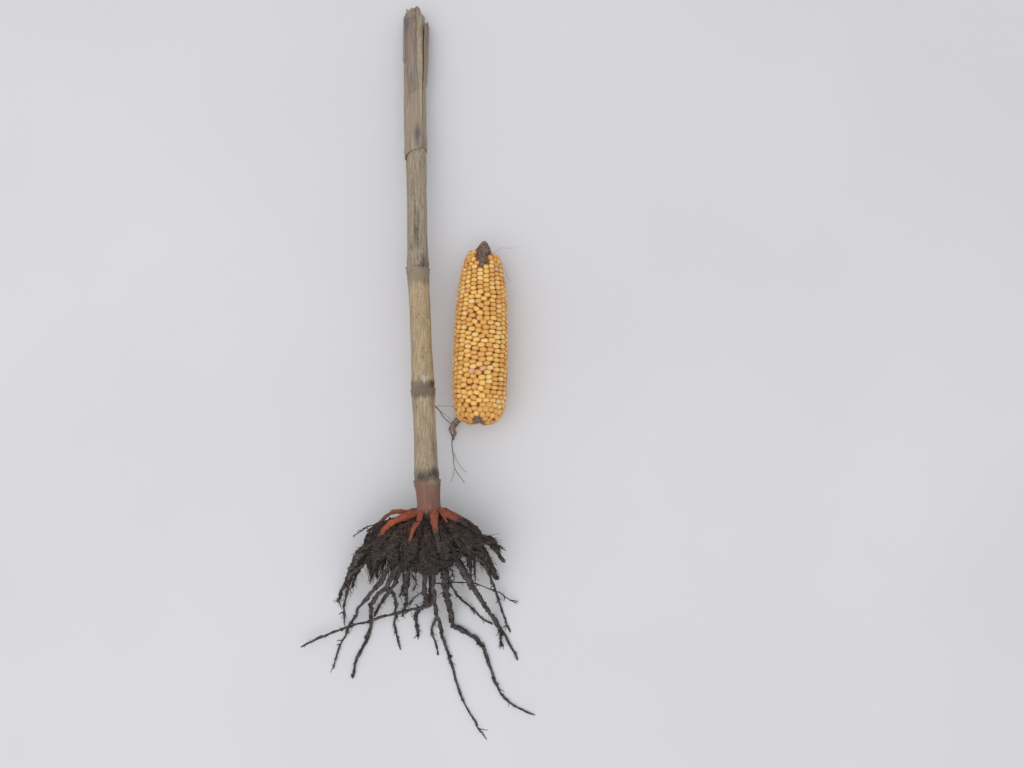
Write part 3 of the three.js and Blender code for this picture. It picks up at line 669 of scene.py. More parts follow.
def root_finish(name, painted=False, dark=(51, 46, 44), light=(85, 76, 70)):
    """Root skin caked with soil: dark crumbs over lighter bark, with orange paint if it has any."""
    finish, shader = new_finish(name, 0.85, 0.2)
    crumbs = grain(finish, 700, start=1.0)
    patches = grain(finish, 210, start=6.0)
    bark = mixed(finish, spread(finish, crumbs, 0.38, 0.64), seen(*dark), seen(*light))
    bark = mixed(finish, spread(finish, patches, 0.45, 0.62, 0.6), bark, seen(56, 51, 48))
    if painted:
        paint = kept_share(finish, "paint")
        fresh = mixed(finish, spread(finish, paint, 0.6, 1.0), seen(124, 80, 70), seen(168, 86, 60))
        fresh = mixed(finish, spread(finish, patches, 0.52, 0.35), fresh, seen(122, 74, 62))
        coat = mixed(finish, spread(finish, crumbs, 0.52, 0.36, 0.6), fresh, seen(88, 64, 56))
        ragged = total(finish, paint, product(finish, patches, 0.8))
        bark = mixed(finish, spread(finish, ragged, 0.72, 0.95), bark, coat)
    colour_with(finish, shader, bark)
    raise_with(finish, shader, crumbs, 0.5)
    return finish


def make_brace(name, places, thick, seed):
    """One brace root: out of the stalk, over its arch and down to its end in the soil, widest
    where it leaves the stalk and a little way out."""
    stations, sides = 80, 32
    foot = stalk_centre(np.array(BRACE_LEVEL))
    foot = foot + 0.4 * (np.array(places[0]) - foot)
    path = curve_through([foot, *places], stations)
    path[:, :2] += wander(np.random.default_rng(seed), 1, stations, 0.35)[0][:, :2]
    share = np.linspace(0, 1, stations)
    taper = 0.9 + 0.16 * bell(share, 0.35, 0.2) - 0.46 * share**2 + 0.35 * np.exp(-share / 0.12)
    radii = 0.5 * thick * taper
    points = knobbly_tube(path, radii, sides, seed, 0.13, 0.08)
    painted_name = name.replace("brace", "painted")
    brace = mesh_piece(painted_name, points, tube_faces(stations, sides), PAINTED_FINISH)
    topside = (points[:, 2] - np.pad(np.repeat(path[:, 2], sides), 1, "edge")) / thick
    along = np.pad(np.repeat(share, sides), 1, "edge")
    level, brightest, fades = PAINT.get(name, THIN_PAINT)
    paint = level * (1 - 0.45 * np.abs(along - brightest)) - 0.8 * np.clip((along - fades) / 0.2, 0, 1)
    add_masks(brace, {"paint": np.clip(paint + 0.2 * topside, 0, 1)})
    return brace


PAINTED_FINISH = root_finish("painted_root", True)
for seed, (node, shape) in enumerate(BRACES.items(), 100):
    brace = make_brace(node, *shape, seed)
    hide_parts(node)
    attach(brace, "root")


# The root mass
# Roots of the soil whorls spread from the crown and turn down, with the black soil that their
# fine hairs hold. Lumpy soil fills the middle; below it the roots, each in its own coat of soil,
# draw together into fingers with open gaps between them.
BALL_FLATNESS = 0.7  # height of the mass as a share of its width
LOBE_START = -8.0
LOBE_DROOP = 0.3
LOBES = {  # node: angle from +X over the top, spread, depth, half width, share of that at the stalk
    "root_mass_left_outer": (182, 63, 50, 11.5, 0.35),
    "root_mass_left": (158, 58, 64, 12, 0.1),
    "root_mass_left_middle": (134, 54, 64, 12, 0.1),
    "root_mass_left_inner": (112, 52, 66, 12, 0.1),
    "root_mass_centre": (85, 48, 76, 12, 0.1),
    "root_mass_right_inner": (66, 50, 66, 12, 0.1),
    "root_mass_right": (36, 52, 56, 13, 0.35),
    "root_mass_right_outer": (10, 52.5, 48, 12.6, 0.55),
    "root_mass_under_right": (322, 52, 54, 13, 0.4),
    "root_mass_under_centre": (272, 64, 62, 19, 0.6),
    "root_mass_under_left": (220, 54, 58, 13, 0.3),
}
CORE_HALF = np.array([30.0, 25.0, 25.0])
CORE_MIDDLE = np.array([0.0, -32.0, CROWN_HEIGHT])
SOIL_END = 0.64  # share of a lobe's length that is filled with soil
SOIL_RINGS = 96
SOIL_SIDES = 64
# Fingers of roots below the soil: top, width there, end and width there, in plan
FINGERS = [
    ((-61, -39), 5, (-78, -76), 3), ((-48, -43), 14, (-55, -72), 7), ((-31, -43), 7, (-37, -69), 3),
    ((-22, -43), 8, (-25.5, -84), 1.2), ((-13, -40), 9, (-15, -56), 7), ((-5, -43), 4, (-8.5, -88), 1.2),
    ((-1, -43), 5, (0.8, -88), 1.4), ((7, -40), 7, (5, -57), 4), ((14, -38), 7, (13.5, -72), 4),
    ((22, -38), 4, (34, -64), 1.5), ((35, -40), 3, (36.6, -68), 0.8), ((39.5, -40), 3, (42.2, -72), 0.8),
    ((44, -38), 9, (60.5, -68), 2.5), ((55, -29), 2, (68, -46), 1.5),
]
STRAND_STATIONS = 44
KINK_LENGTH = 6.0


def lobe_path(turn, reach, depth, share):
    """A lobe's middle line: a quarter of an oval from the stalk outward and then down, which
    sinks a little towards its tip."""
    quarter = np.pi / 2 * share
    drop = 1 - np.cos(quarter)
    out = reach * np.sin(quarter)
    height = CROWN_HEIGHT + out * BALL_FLATNESS * np.sin(np.radians(turn))
    height = height * (1 - LOBE_DROOP * drop**2)
    return np.stack([out * np.cos(np.radians(turn)), LOBE_START - depth * drop, height], -1)


def soil_lump(points, seed):
    """How far soil stands out: clods, lumps, crumbs and grit, each about half the size of the last."""
    lumps = 2.0 * unevenness(points, 13, seed) + 1.3 * unevenness(points, 5, seed + 1)
    return lumps + 0.8 * unevenness(points, 2.2, seed + 2) + 0.4 * unevenness(points, 1.3, seed + 3)


def grown(share, foot):
    """How much of its full width a lobe has: little where it leaves the stalk, under the braces."""
    return np.interp(share, [0.0, 0.25, 0.45, 0.62], [foot, max(foot, 0.42), max(foot, 0.7), 1.0])


def soil_body(path, radii, looseness, seed):
    """One closed body of soil round a path: its radii and lumps as far out as it is loose."""
    smooth = one_tube(path, radii, SOIL_SIDES)[1:-1]
    relief = soil_lump(smooth, seed).reshape(SOIL_RINGS, SOIL_SIDES) * looseness[:, None]
    return one_tube(path, radii[:, None] + relief, SOIL_SIDES)


def soil_points():
    """The soil of all lobes and of the core, as closed uneven bodies one after another."""
    share = np.linspace(0.05, SOIL_END, SOIL_RINGS)
    ends = np.sin(np.pi * np.linspace(0.04, 0.97, SOIL_RINGS)) ** 0.45
    bodies = []
    for seed, (turn, reach, depth, girth, foot) in enumerate(LOBES.values(), 200):
        path = lobe_path(turn, reach, depth, share)
        radii = girth * (1.1 - 0.3 * share) * ends * grown(share, foot)
        bodies.append(soil_body(path, radii, ends * grown(share, foot), seed))
    level = np.linspace(-1, 1, SOIL_RINGS)
    path = CORE_MIDDLE + CORE_HALF * np.stack([0 * level, level, 0 * level], -1)
    radii = CORE_HALF[2] * np.sqrt(np.maximum(1 - level**2, 0.02))
    bodies.append(soil_body(path, radii, np.ones(SOIL_RINGS), 299))
    return kept_up(np.vstack(bodies)), tube_faces(SOIL_RINGS, SOIL_SIDES, len(bodies))


def soil_finish(name, dark, light, dusted=False):
    """Dull soil or root hair in one dark colour and one lighter, in crumbs. A dusted one also has
    pale fibres, and paint as far as its dust reaches."""
    finish, shader = new_finish(name, 0.95, 0.12)
    crumbs = grain(finish, 620, start=8.0)
    soil = mixed(finish, spread(finish, crumbs, 0.36, 0.66), dark, light)
    if dusted:
        fibres = grain(finish, 900, 120, start=5.0)
        soil = mixed(finish, spread(finish, fibres, 0.52, 0.68, 0.5), soil, seen(92, 83, 74))
        patches = spread(finish, grain(finish, 150, start=3.0), 0.42, 0.58)
        red = product(finish, kept_share(finish, "dust"), patches)
        soil = mixed(finish, red, soil, seen(94, 66, 59))
    colour_with(finish, shader, soil)
    raise_with(finish, shader, crumbs, 0.6)
    return finish


def add_soil(points, faces):
    """The soil, with a dusting of paint near the stalk."""
    finish = soil_finish("root_soil", seen(49, 45, 43), seen(80, 73, 69), dusted=True)
    soil = mesh_piece("root_soil", points, faces, finish)
    dust = 1.3 - np.linalg.norm(points[:, :2] * [0.6, 1], axis=1) / 24
    dust += 0.7 * bell(points[:, 0], -38, 16) * bell(points[:, 1], -22, 12) * (points[:, 2] > 46)
    add_masks(soil, {"dust": np.clip(dust, 0, 0.65)})
    return soil


def kinked(draw, line, size):
    """Sideways kinks along a line: straight runs of one length between drawn offsets."""
    gone = np.r_[0, np.cumsum(np.linalg.norm(np.diff(line, axis=0), axis=1))]
    knots = np.linspace(0, gone[-1], max(3, int(gone[-1] / KINK_LENGTH)))
    offsets = draw.normal(0, size, (2, len(knots)))
    offsets[:, 0] = 0
    return np.stack([np.interp(gone, knots, offset) for offset in offsets] + [0 * gone], -1)


def strand_paths(draw, lobe, count, outer):
    """Roots of one lobe, and how full each stays. Each runs with the lobe from the stalk, at its
    own place in the lobe's width, then goes down into the nearest finger and ends along it."""
    turn, reach, depth, girth, foot = lobe
    marks = np.array([0.1, 0.32, 0.56])
    line = lobe_path(turn, reach, depth, marks)
    ahead = unit(np.gradient(line, axis=0))
    outward = np.array([np.cos(np.radians(turn)), 0.0, np.sin(np.radians(turn)) * BALL_FLATNESS])
    aside = unit(np.cross(ahead, outward))
    above = np.cross(aside, ahead)
    paths = []
    fullness = []
    for _ in range(count):
        place = draw.uniform(0, 2 * np.pi)
        off = girth * np.sqrt(draw.uniform(0.1, outer)) * (1 - 0.3 * marks)
        off = off * grown(marks, min(foot, 0.4))
        knots = line + off[:, None] * (aside * np.cos(place) + above * np.sin(place))
        across = reach * outward[0] + girth * draw.uniform(-0.9, 0.9)
        away = [abs(across - top[0]) - width / 2 for top, width, _, _ in FINGERS]
        top, width, end, end_width = FINGERS[int(np.argmin(away))]
        side = draw.uniform(-0.5, 0.5)
        length = 0.3 + 0.75 * draw.uniform() ** 1.8
        drop = np.array([0.0, 0.5, 1.0]) * length
        middle = np.array(top) + np.subtract(end, top) * drop[:, None]
        middle[:, 0] += side * (width + (end_width - width) * drop)
        height = np.interp(drop, [0, 1], [0.5 * knots[-1, 2] + 12, draw.uniform(3, 13)])
        paths.append(curve_through(np.vstack([knots, np.c_[middle, height]]), STRAND_STATIONS))
        fullness.append(min(1.0, 0.42 + 0.15 * end_width))
    paths = np.stack(paths) + wander(draw, count, STRAND_STATIONS, 1.1)
    return paths + np.stack([kinked(draw, path, 0.3) for path in paths]), np.array(fullness)


def add_many(name, paths, radii, sides, finish, rough=0.0, seed=0):
    """One piece of many closed tubes, kept above the ground."""
    points = tube_points(paths, radii, sides)
    if rough:
        smooth = points[:, 1:-1]
        relief = rough * unevenness(smooth, 4.5, seed) + 0.6 * rough * unevenness(smooth, 1.5, seed + 1)
        skin = radii[..., None] * (1 + relief.reshape(len(paths), -1, sides))
        points = tube_points(paths, skin, sides)
    points = kept_up(points.reshape(-1, 3), 0.05)
    return mesh_piece(name, points, tube_faces(paths.shape[1], sides, len(paths)), finish)


def all_strands(seed, count, outer, thin, thick):
    """Roots of every lobe, with their half thicknesses: full where the soil cakes them, tapering
    to their tips."""
    draw = np.random.default_rng(seed)
    bundles = [strand_paths(draw, lobe, count, outer) for lobe in LOBES.values()]
    paths = np.concatenate([paths for paths, _ in bundles])
    fullness = np.concatenate([fullness for _, fullness in bundles])[:, None]
    share = np.linspace(0, 1, STRAND_STATIONS)
    start = draw.uniform(thin, thick, len(paths))[:, None]
    profile = np.interp(share, [0, 0.3, 0.55, 0.75, 1], [0.6, 0.8, 1.1, 0.85, 0.4])
    profile = profile * (1 - (1 - fullness) * np.clip((share - 0.4) / 0.25, 0, 1))
    return paths, start * profile * np.minimum(1, (1.02 - share) / 0.06) ** 0.5


SOIL_POINTS, SOIL_FACES = soil_points()
soil = add_soil(SOIL_POINTS, SOIL_FACES)
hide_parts("root_mass_core", *LOBES)
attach(soil, "root")
STRANDS, STRAND_RADII = all_strands(seed=7, count=15, outer=0.6, thin=0.95, thick=2.1)
FINE_STRANDS, FINE_RADII = all_strands(seed=8, count=16, outer=1.1, thin=0.35, thick=0.8)
CAKED_FINISH = root_finish("caked_root")
for strands in (add_many("root_strands", STRANDS, STRAND_RADII, 10, CAKED_FINISH, rough=0.38, seed=300),
                add_many("fine_strands", FINE_STRANDS, FINE_RADII, 5, CAKED_FINISH, rough=0.25, seed=310)):
    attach(strands, "root")


# The long roots
# The roots that still reach out of the soil, dragged out flat on the ground where they were
# laid down: tapering, kinked, knobbly with clods, and bare near their tips.
TRAILS = {  # node: start, length, bearing, bow, sway, kink, share where it lands, thickness at both ends
    "long_root_right_upper": ((14.5, -64.7, 44), 47, -86.1, 0.2, 0, 0, 1.1, 6.0, 4.8),
    "long_root_right_lower": ((17.7, -113.5, 3), 115.3, -46.8, -1.8, 8.9, 0.1, 1, 4.8, 1.3),
    "long_root_middle": ((3.1, -81.9, 30), 145, -71.1, -9.2, 0.7, -0.7, 0.4, 5, 1.3),
    "long_root_crossing": ((-1.5, -92.2, 12), 127.7, -162.3, -3.6, 0.5, -0.2, 1, 3, 2.2),
    "root_left_long": ((-49.5, -71.9, 28), 93.5, -118.8, -6, 0.1, -0.5, 0.65, 4.8, 1.1),
    "root_left_knobbly": ((-41.2, -73.8, 30), 97, -111, -3.4, -2.2, -3, 0.5, 5.2, 2.2),
    "root_left_short": ((-37.9, -78.1, 26), 32.6, -124.8, -1.2, 0, 0, 0.9, 4, 1.5),
    "root_left_wavy": ((-40.7, -71.8, 26), 64.9, -81.6, 0.6, 3.1, 1, 0.6, 3.4, 1.6),
    "root_centre_left": ((-21.9, -64.8, 34), 42.1, -99.2, 0.2, 0, 0, 0.9, 6, 1.6),
    "root_hooked": ((-5.3, -77.4, 30), 46.9, -99.7, -3.3, 3, 1.5, 0.6, 4.2, 2.6),
    "root_centre_thin": ((1, -88, 20), 54, -85.3, -2, 2.5, 1, 0.6, 3, 1.4),
    "root_right_thin": ((18.9, -71, 30), 55.7, -48.3, -5, -0.3, -0.3, 0.6, 2.8, 1.4),
    "root_right_thick": ((36, -65.1, 42), 93.1, -62, -0.1, -0.8, 0.4, 0.6, 6, 1.8),
    "root_right_slim": ((50, -50, 38), 72.9, -71.6, 0, 0.4, 0, 0.75, 3.4, 1.4),
    "root_right_outer": ((46, -36, 44), 35.6, -63.9, -1.0, 0.3, 0, 2, 6.4, 3.6),
    "root_left_outer": ((-66.8, -44.2, 38), 54, -116.1, -1.1, 0, 0, 1, 7, 2),
    "root_left_fork": ((-74.4, -61.7, 26), 51.7, -100.8, -2.9, 0.8, 0, 0.8, 4, 1.2),
}
TWIGS = [  # side roots with no solid of their own, in the same terms
    ((3.6, -67.9, 33), 80.4, -18.8, 8.0, 0, 0, 1.3, 1.6, 1.0),
    ((62.6, -115, 6), 18.5, -79.6, 0.6, 0, 0, 0.8, 3.2, 1.2),
    ((16.4, -52.2, 34), 15, -74.9, 1.0, 0.3, 0, 2, 1.0, 0.6),
    ((-52.2, -14.5, 40), 27, -146.7, -1.0, 0, 0, 1.5, 1.4, 0.7),
    ((-18.4, -60.9, 26), 19, -88.9, 3.4, 0, 0, 1.6, 1.0, 0.6),
    ((-9.6, -79.3, 14), 21.2, -129.4, -1.2, 0, 0, 1.2, 0.8, 0.5),
    ((43.5, -26, 42), 35, -42, 3.0, 0, 0, 4, 4.2, 3.0),
    ((-25.5, -71, 24), 17.5, -114.5, 0.8, 0, 0, 1.0, 1.8, 1.2),
]
CROSSING_LIFT = 9.0  # the crossing root lies over the others
LOWEST_LED_IN = 4.0  # a root that starts lower than this already lies clear of the mass
LEAD_STATIONS = 20  # inside the mass
TRAIL_STATIONS = 90  # outside it
TRAIL_SIDES = 16
TWIG_SEED = 439


def trail_path(start, length, bearing, bow, sway, kink, lands, rest, lead_in):
    """A root's line in plan along its bearing, with one, two and three half waves sideways,
    coming down to its rest on the ground, and led in from inside the mass."""
    share = np.linspace(0, 1, TRAIL_STATIONS)
    angle = np.radians(bearing)
    aside = bow * np.sin(np.pi * share) + sway * np.sin(2 * np.pi * share)
    aside = aside + kink * np.sin(3 * np.pi * share)
    ahead = length * share
    drop = np.maximum(0, 1 - share / lands) ** 1.5
    path = np.stack([start[0] + ahead * np.cos(angle) - aside * np.sin(angle),
                     start[1] + ahead * np.sin(angle) + aside * np.cos(angle),
                     rest + (start[2] - rest) * drop], -1)
    if not lead_in:
        return path
    inside = np.linspace(0, 1, LEAD_STATIONS)[:-1, None]
    heart = np.array([0.45 * start[0], 0.45 * start[1], (CROWN_HEIGHT + start[2]) / 2])
    return np.vstack([heart + (path[0] - heart) * inside, path])


def make_trail(name, shape, seed):
    """One long root with its clods, kinked and wavering a little, and the line it follows."""
    start, length, bearing, bow, sway, kink, lands, thick, thin = shape
    rest = CROSSING_LIFT if "crossing" in name else thin / 2
    path = trail_path(start, length, bearing, bow, sway, kink, lands, rest, start[2] > LOWEST_LED_IN)
    draw = np.random.default_rng(seed)
    drift = wander(draw, 1, len(path), 0.3)[0] * [1, 1, 0.3]
    path = path + drift + kinked(draw, path, 0.25 + 0.05 * thick)
    share = np.linspace(0, 1, len(path))
    radii = 0.46 * (thick + (thin - thick) * share**0.8) * (1 + 0.12 * np.sin(37 * share + seed))
    radii = np.maximum(radii * np.minimum(1, (1.01 - share) / 0.03) ** 0.5, 0.12)
    path = kept_up(path, radii)
    points = knobbly_tube(path, radii, TRAIL_SIDES, seed, 0.2, 0.24)
    trail = mesh_piece(name, points, tube_faces(len(path), TRAIL_SIDES), TRAIL_FINISH)
    return trail, path, radii


TRAIL_FINISH = root_finish("trailing_root", dark=(58, 54, 53), light=(104, 97, 93))
trail_lines = []
for seed, (node, shape) in enumerate(TRAILS.items(), 400):
    trail, line, radii = make_trail("caked_" + node, shape, seed)
    trail_lines.append((line, radii))
    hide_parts(node)
    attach(trail, "root")
for number, shape in enumerate(TWIGS, 1):
    twig, line, radii = make_trail(f"side_root_{number}", shape, TWIG_SEED + number)
    trail_lines.append((line, radii))
    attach(twig, "root")


# The rootlets and crumbs
# Hair-thin side roots off every root, sticking out where they have dried, and crumbs of soil
# that cling to them.
ROOTLETS = {  # how many on the strands and on the long roots, dark colour, light colour
    "pale_rootlets": (900, 160, (74, 66, 58), (106, 94, 82)),
    "dark_rootlets": (2300, 480, (44, 40, 37), (70, 63, 57)),
    "side_twigs": (60, 90, (52, 48, 46), (86, 79, 74)),
}
ROOTLET_STATIONS = 6
ROOTLET_RADII = (0.14, 0.36)
SOIL_CRUMBS = 3900
STRAND_CRUMBS = 3300


def rootlet_paths(draw, hosts, host_radii, count, lengths, spread_out):
    """Fine roots that leave drawn points of the host roots: each sets off between along and away
    from its host, and droops and wavers over its drawn length."""
    which = draw.integers(0, len(hosts), count)
    where = draw.integers(4, hosts.shape[1] - 2, count)
    start = hosts[which, where]
    ahead = unit(hosts[which, where + 1] - start)
    away = unit(np.cross(ahead, draw.normal(size=(count, 3))))
    heading = unit(ahead + away * draw.uniform(0.2, spread_out, count)[:, None])
    length = draw.uniform(*lengths, count)[:, None, None]
    share = np.linspace(0, 1, ROOTLET_STATIONS)[None, :, None]
    base = start + away * host_radii[which, where][:, None] * 0.7
    paths = base[:, None] + length * share * heading[:, None]
    paths = paths + length * share**2 * np.array([0, -0.15, -0.2])
    return paths + wander(draw, count, ROOTLET_STATIONS, 0.09) * length


def add_rootlets():
    """Fine roots on the strands and the long roots: a paler kind, a darker one, and side twigs
    that are longer and thicker."""
    draw = np.random.default_rng(11)
    lines = np.stack([line[-TRAIL_STATIONS:] for line, _ in trail_lines])
    radii = np.stack([each[-TRAIL_STATIONS:] for _, each in trail_lines])
    kinds = []
    for name, (on_strands, on_trails, dark, light) in ROOTLETS.items():
        inner = rootlet_paths(draw, STRANDS, STRAND_RADII, on_strands, lengths=(2.5, 9), spread_out=0.9)
        outer = rootlet_paths(draw, lines, radii, on_trails, lengths=(0.8, 4.5), spread_out=2.4)
        paths = np.concatenate([inner, outer])
        twigs = "twigs" in name
        paths = paths[:, :1] + (paths - paths[:, :1]) * (1.0 + 0.8 * twigs)
        thick = draw.uniform(*ROOTLET_RADII, len(paths))[:, None] * (1 + 1.1 * twigs)
        thick = thick * np.linspace(1, 0.45, ROOTLET_STATIONS)
        kinds.append(add_many(name, paths, thick, 4, soil_finish(name, seen(*dark), seen(*light))))
    return kinds


def crumb_points(draw, places, sizes):
    """Crumbs of soil: small lumps, each with its corners pushed in and out at random."""
    rings, sides = 2, 5
    turn = 2 * np.pi * np.arange(sides) / sides
    level = np.array([-0.4, 0.4])[:, None]
    ring = np.stack(np.broadcast_arrays(0.95 * np.cos(turn), 0.95 * np.sin(turn), level), -1)
    lump = np.vstack([[[0, 0, -1]], ring.reshape(-1, 3), [[0, 0, 1]]])
    lump = lump[None] * draw.uniform(0.6, 1.25, (len(places), len(lump), 1))
    stretch = draw.uniform(0.7, 1.4, (len(places), 1, 3))
    points = (places[:, None] + lump * stretch * sizes[:, None, None]).reshape(-1, 3)
    return kept_up(points, 0.05), tube_faces(rings, sides, len(places))


def crumb_sizes(draw, base, count):
    """Drawn sizes of crumbs, from about half the base size to five and a half times it."""
    return base * draw.uniform(0.8, 1.4, count) * draw.uniform(0.8, 2.0, count) ** 2


def add_crumbs():
    """Crumbs on the soil, the roots in it and the long roots."""
    draw = np.random.default_rng(13)
    places = [SOIL_POINTS[draw.integers(0, len(SOIL_POINTS), SOIL_CRUMBS)]]
    sizes = [crumb_sizes(draw, 0.42, SOIL_CRUMBS)]
    hosts = [(STRANDS, STRAND_RADII, STRAND_CRUMBS)]
    hosts += [(line[None], radii[None], int(25 + 50 * radii.mean())) for line, radii in trail_lines]
    for lines, radii, count in hosts:
        which = draw.integers(0, len(lines), count)
        where = draw.integers(6, lines.shape[1] - 1, count)
        away = unit(draw.normal(size=(count, 3)))
        places.append(lines[which, where] + away * radii[which, where][:, None] * 1.02)
        base = np.minimum(0.36, 0.08 + 0.17 * radii[which, where])
        sizes.append(crumb_sizes(draw, base, count))
    points, faces = crumb_points(draw, np.vstack(places), np.concatenate(sizes))
    finish = soil_finish("soil_crumbs", seen(46, 42, 40), seen(76, 69, 64))
    return mesh_piece("soil_crumbs", points, faces, finish)


for piece in (*add_rootlets(), add_crumbs()):
    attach(piece, "root")


# The ear
# A ripe dent ear on its side: kernels in rows round a chaffy cob, each a flat-topped wedge with
# a dent in its crown. The rows crowd and break up in places, and the cob's tip is bare.
EAR_BUTT = np.array([44.1, 77.0, 25.2])
EAR_TIP = np.array([47.6, 242.0, 24.2])
EAR_OUTLINE = [  # along, half width
    (-1, 0), (-1, 6), (0, 11), (2, 16), (5, 20), (10, 22.4), (18, 24.2), (34, 25.5), (70, 25.6), (96, 24.8),
    (118, 23.3), (136, 21.2), (148, 18.9), (156, 16.2), (161, 13.2), (165, 9.0), (167, 4),
]
EAR_ROWS = 22
ROW_KERNELS = 50  # more than fit, so that a row reaches the tip
KERNEL_PITCH = 4.15
KERNEL_WIDTH = 4.8  # least width of a row before kernels drop out of it
SMALLEST_HALF = 8.5  # half width of the ear where its kernels end
SETTLING_ROUNDS = 60
SETTLING_PUSH = 0.22  # share of an overlap that a round takes away
SETTLED_ROOM = 1.06  # room for a kernel as a share of its size
KERNEL_SIDES = 12
KERNEL_ROOT = 4.0  # depth of a kernel's point under its crown
# Rings of a kernel: width as a share of its own, height from its crown, roundness (1 is an oval)
# and how deep in colour: partly the grain's own, partly painted highlight on the crown and
# painted shade down the sides
KERNEL_RINGS = np.array([0.4, 0.74, 0.94, 1.03, 0.98])
KERNEL_LEVELS = np.array([0.0, -0.16, -0.6, -1.4, -3.0])
KERNEL_ROUNDNESS = np.array([0.9, 0.8, 0.72, 0.68, 0.68])
KERNEL_DEPTHS = np.array([0.05, 0.3, 0.65, 0.9, 1.0])
# Kernel kinds: share of the ear, colour of the crown and of the sides; the crown's is partly
# painted highlight, the sides' partly painted shade
KERNEL_KINDS = {
    "kernels_pale": (0.2, (242, 204, 126), (194, 136, 84)),
    "kernels_gold": (0.42, (240, 192, 98), (190, 124, 72)),
    "kernels_amber": (0.36, (224, 169, 80), (180, 110, 64)),
    "kernels_pink": (0.02, (214, 168, 128), (174, 118, 92)),
}
# The wedge at the tip where the cob is bare: along, half width
BARE_WEDGE = [(142, 0), (147.7, 3.0), (151, 4.0), (155, 5.6), (159, 6.6)]
WEDGE_MARGIN = 1.6  # added to its half width
COB_OUTLINE = [  # along the ear, half width
    (1.0, 3.0), (1.3, 6.5), (2.4, 9), (4.4, 13), (8, 17), (12, 20), (28, 22.4), (100, 22.0), (136, 18.6),
    (148, 15.8), (155, 12.4), (160, 7.4), (163.4, 6.6), (165.6, 5.4), (168, 4.0), (170.6, 2.3), (171.7, 1.0),
]
COB_BARE = 140.0  # place along from which its rings lie closer
SCALE = 2.1  # distance between the cob's scales


def ear_round(along, turn):
    """Points on the ear's axis, with its direction and the directions straight out from it."""
    axis = (EAR_TIP - EAR_BUTT) / np.linalg.norm(EAR_TIP - EAR_BUTT)
    side = np.cross(axis, [0, 0, 1])
    side /= np.linalg.norm(side)
    radial = np.cos(turn)[:, None] * side + np.sin(turn)[:, None] * np.cross(side, axis)
    return EAR_BUTT + along[:, None] * axis, axis, radial


def ear_line(gone):
    """Place along the ear and half width, at distances gone along its outline from the butt."""
    outline = curve_through(EAR_OUTLINE, 600)
    length = np.r_[0, np.cumsum(np.linalg.norm(np.diff(outline, axis=0), axis=1))]
    return np.interp(gone, length, outline[:, 0]), np.interp(gone, length, outline[:, 1])


def ear_frame(gone, turn):
    """Places on the ear's outside with the directions across, along and out of its skin."""
    along, half = ear_line(gone)
    ahead = (np.array(ear_line(gone + 1)) - ear_line(gone - 1)) / 2
    ahead = (ahead / np.linalg.norm(ahead, axis=0))[..., None]
    middle, axis, radial = ear_round(along, turn)
    forward = ahead[0] * axis + ahead[1] * radial
    out = ahead[0] * radial - ahead[1] * axis
    return middle + half[:, None] * radial, np.cross(out, forward), forward, out


def settled(along, row, tall, wide):
    """Kernels on the unrolled ear push their neighbours away, a little at a time, until each has
    the room of an oval a little taller than itself and so many rows wide."""
    tall, wide = SETTLED_ROOM * tall, SETTLED_ROOM * wide
    for _ in range(SETTLING_ROUNDS):
        gap_along = (along[:, None] - along) / (0.5 * (tall[:, None] + tall))
        gap_row = (row[:, None] - row + EAR_ROWS / 2) % EAR_ROWS - EAR_ROWS / 2
        gap_row = gap_row / (0.5 * (wide[:, None] + wide))
        apart = np.sqrt(gap_along**2 + gap_row**2) + 1e-6
        push = SETTLING_PUSH * np.clip(1 - apart, 0, 1) / apart
        np.fill_diagonal(push, 0)
        along = along + (push * gap_along).sum(1) * tall
        row = row + (push * gap_row).sum(1) * wide
    return along, row


def wedge_half(along):
    """Half width of the bare wedge at places along the ear, and less than nothing before it."""
    return np.interp(along, *np.transpose(BARE_WEDGE), left=-9) + WEDGE_MARGIN


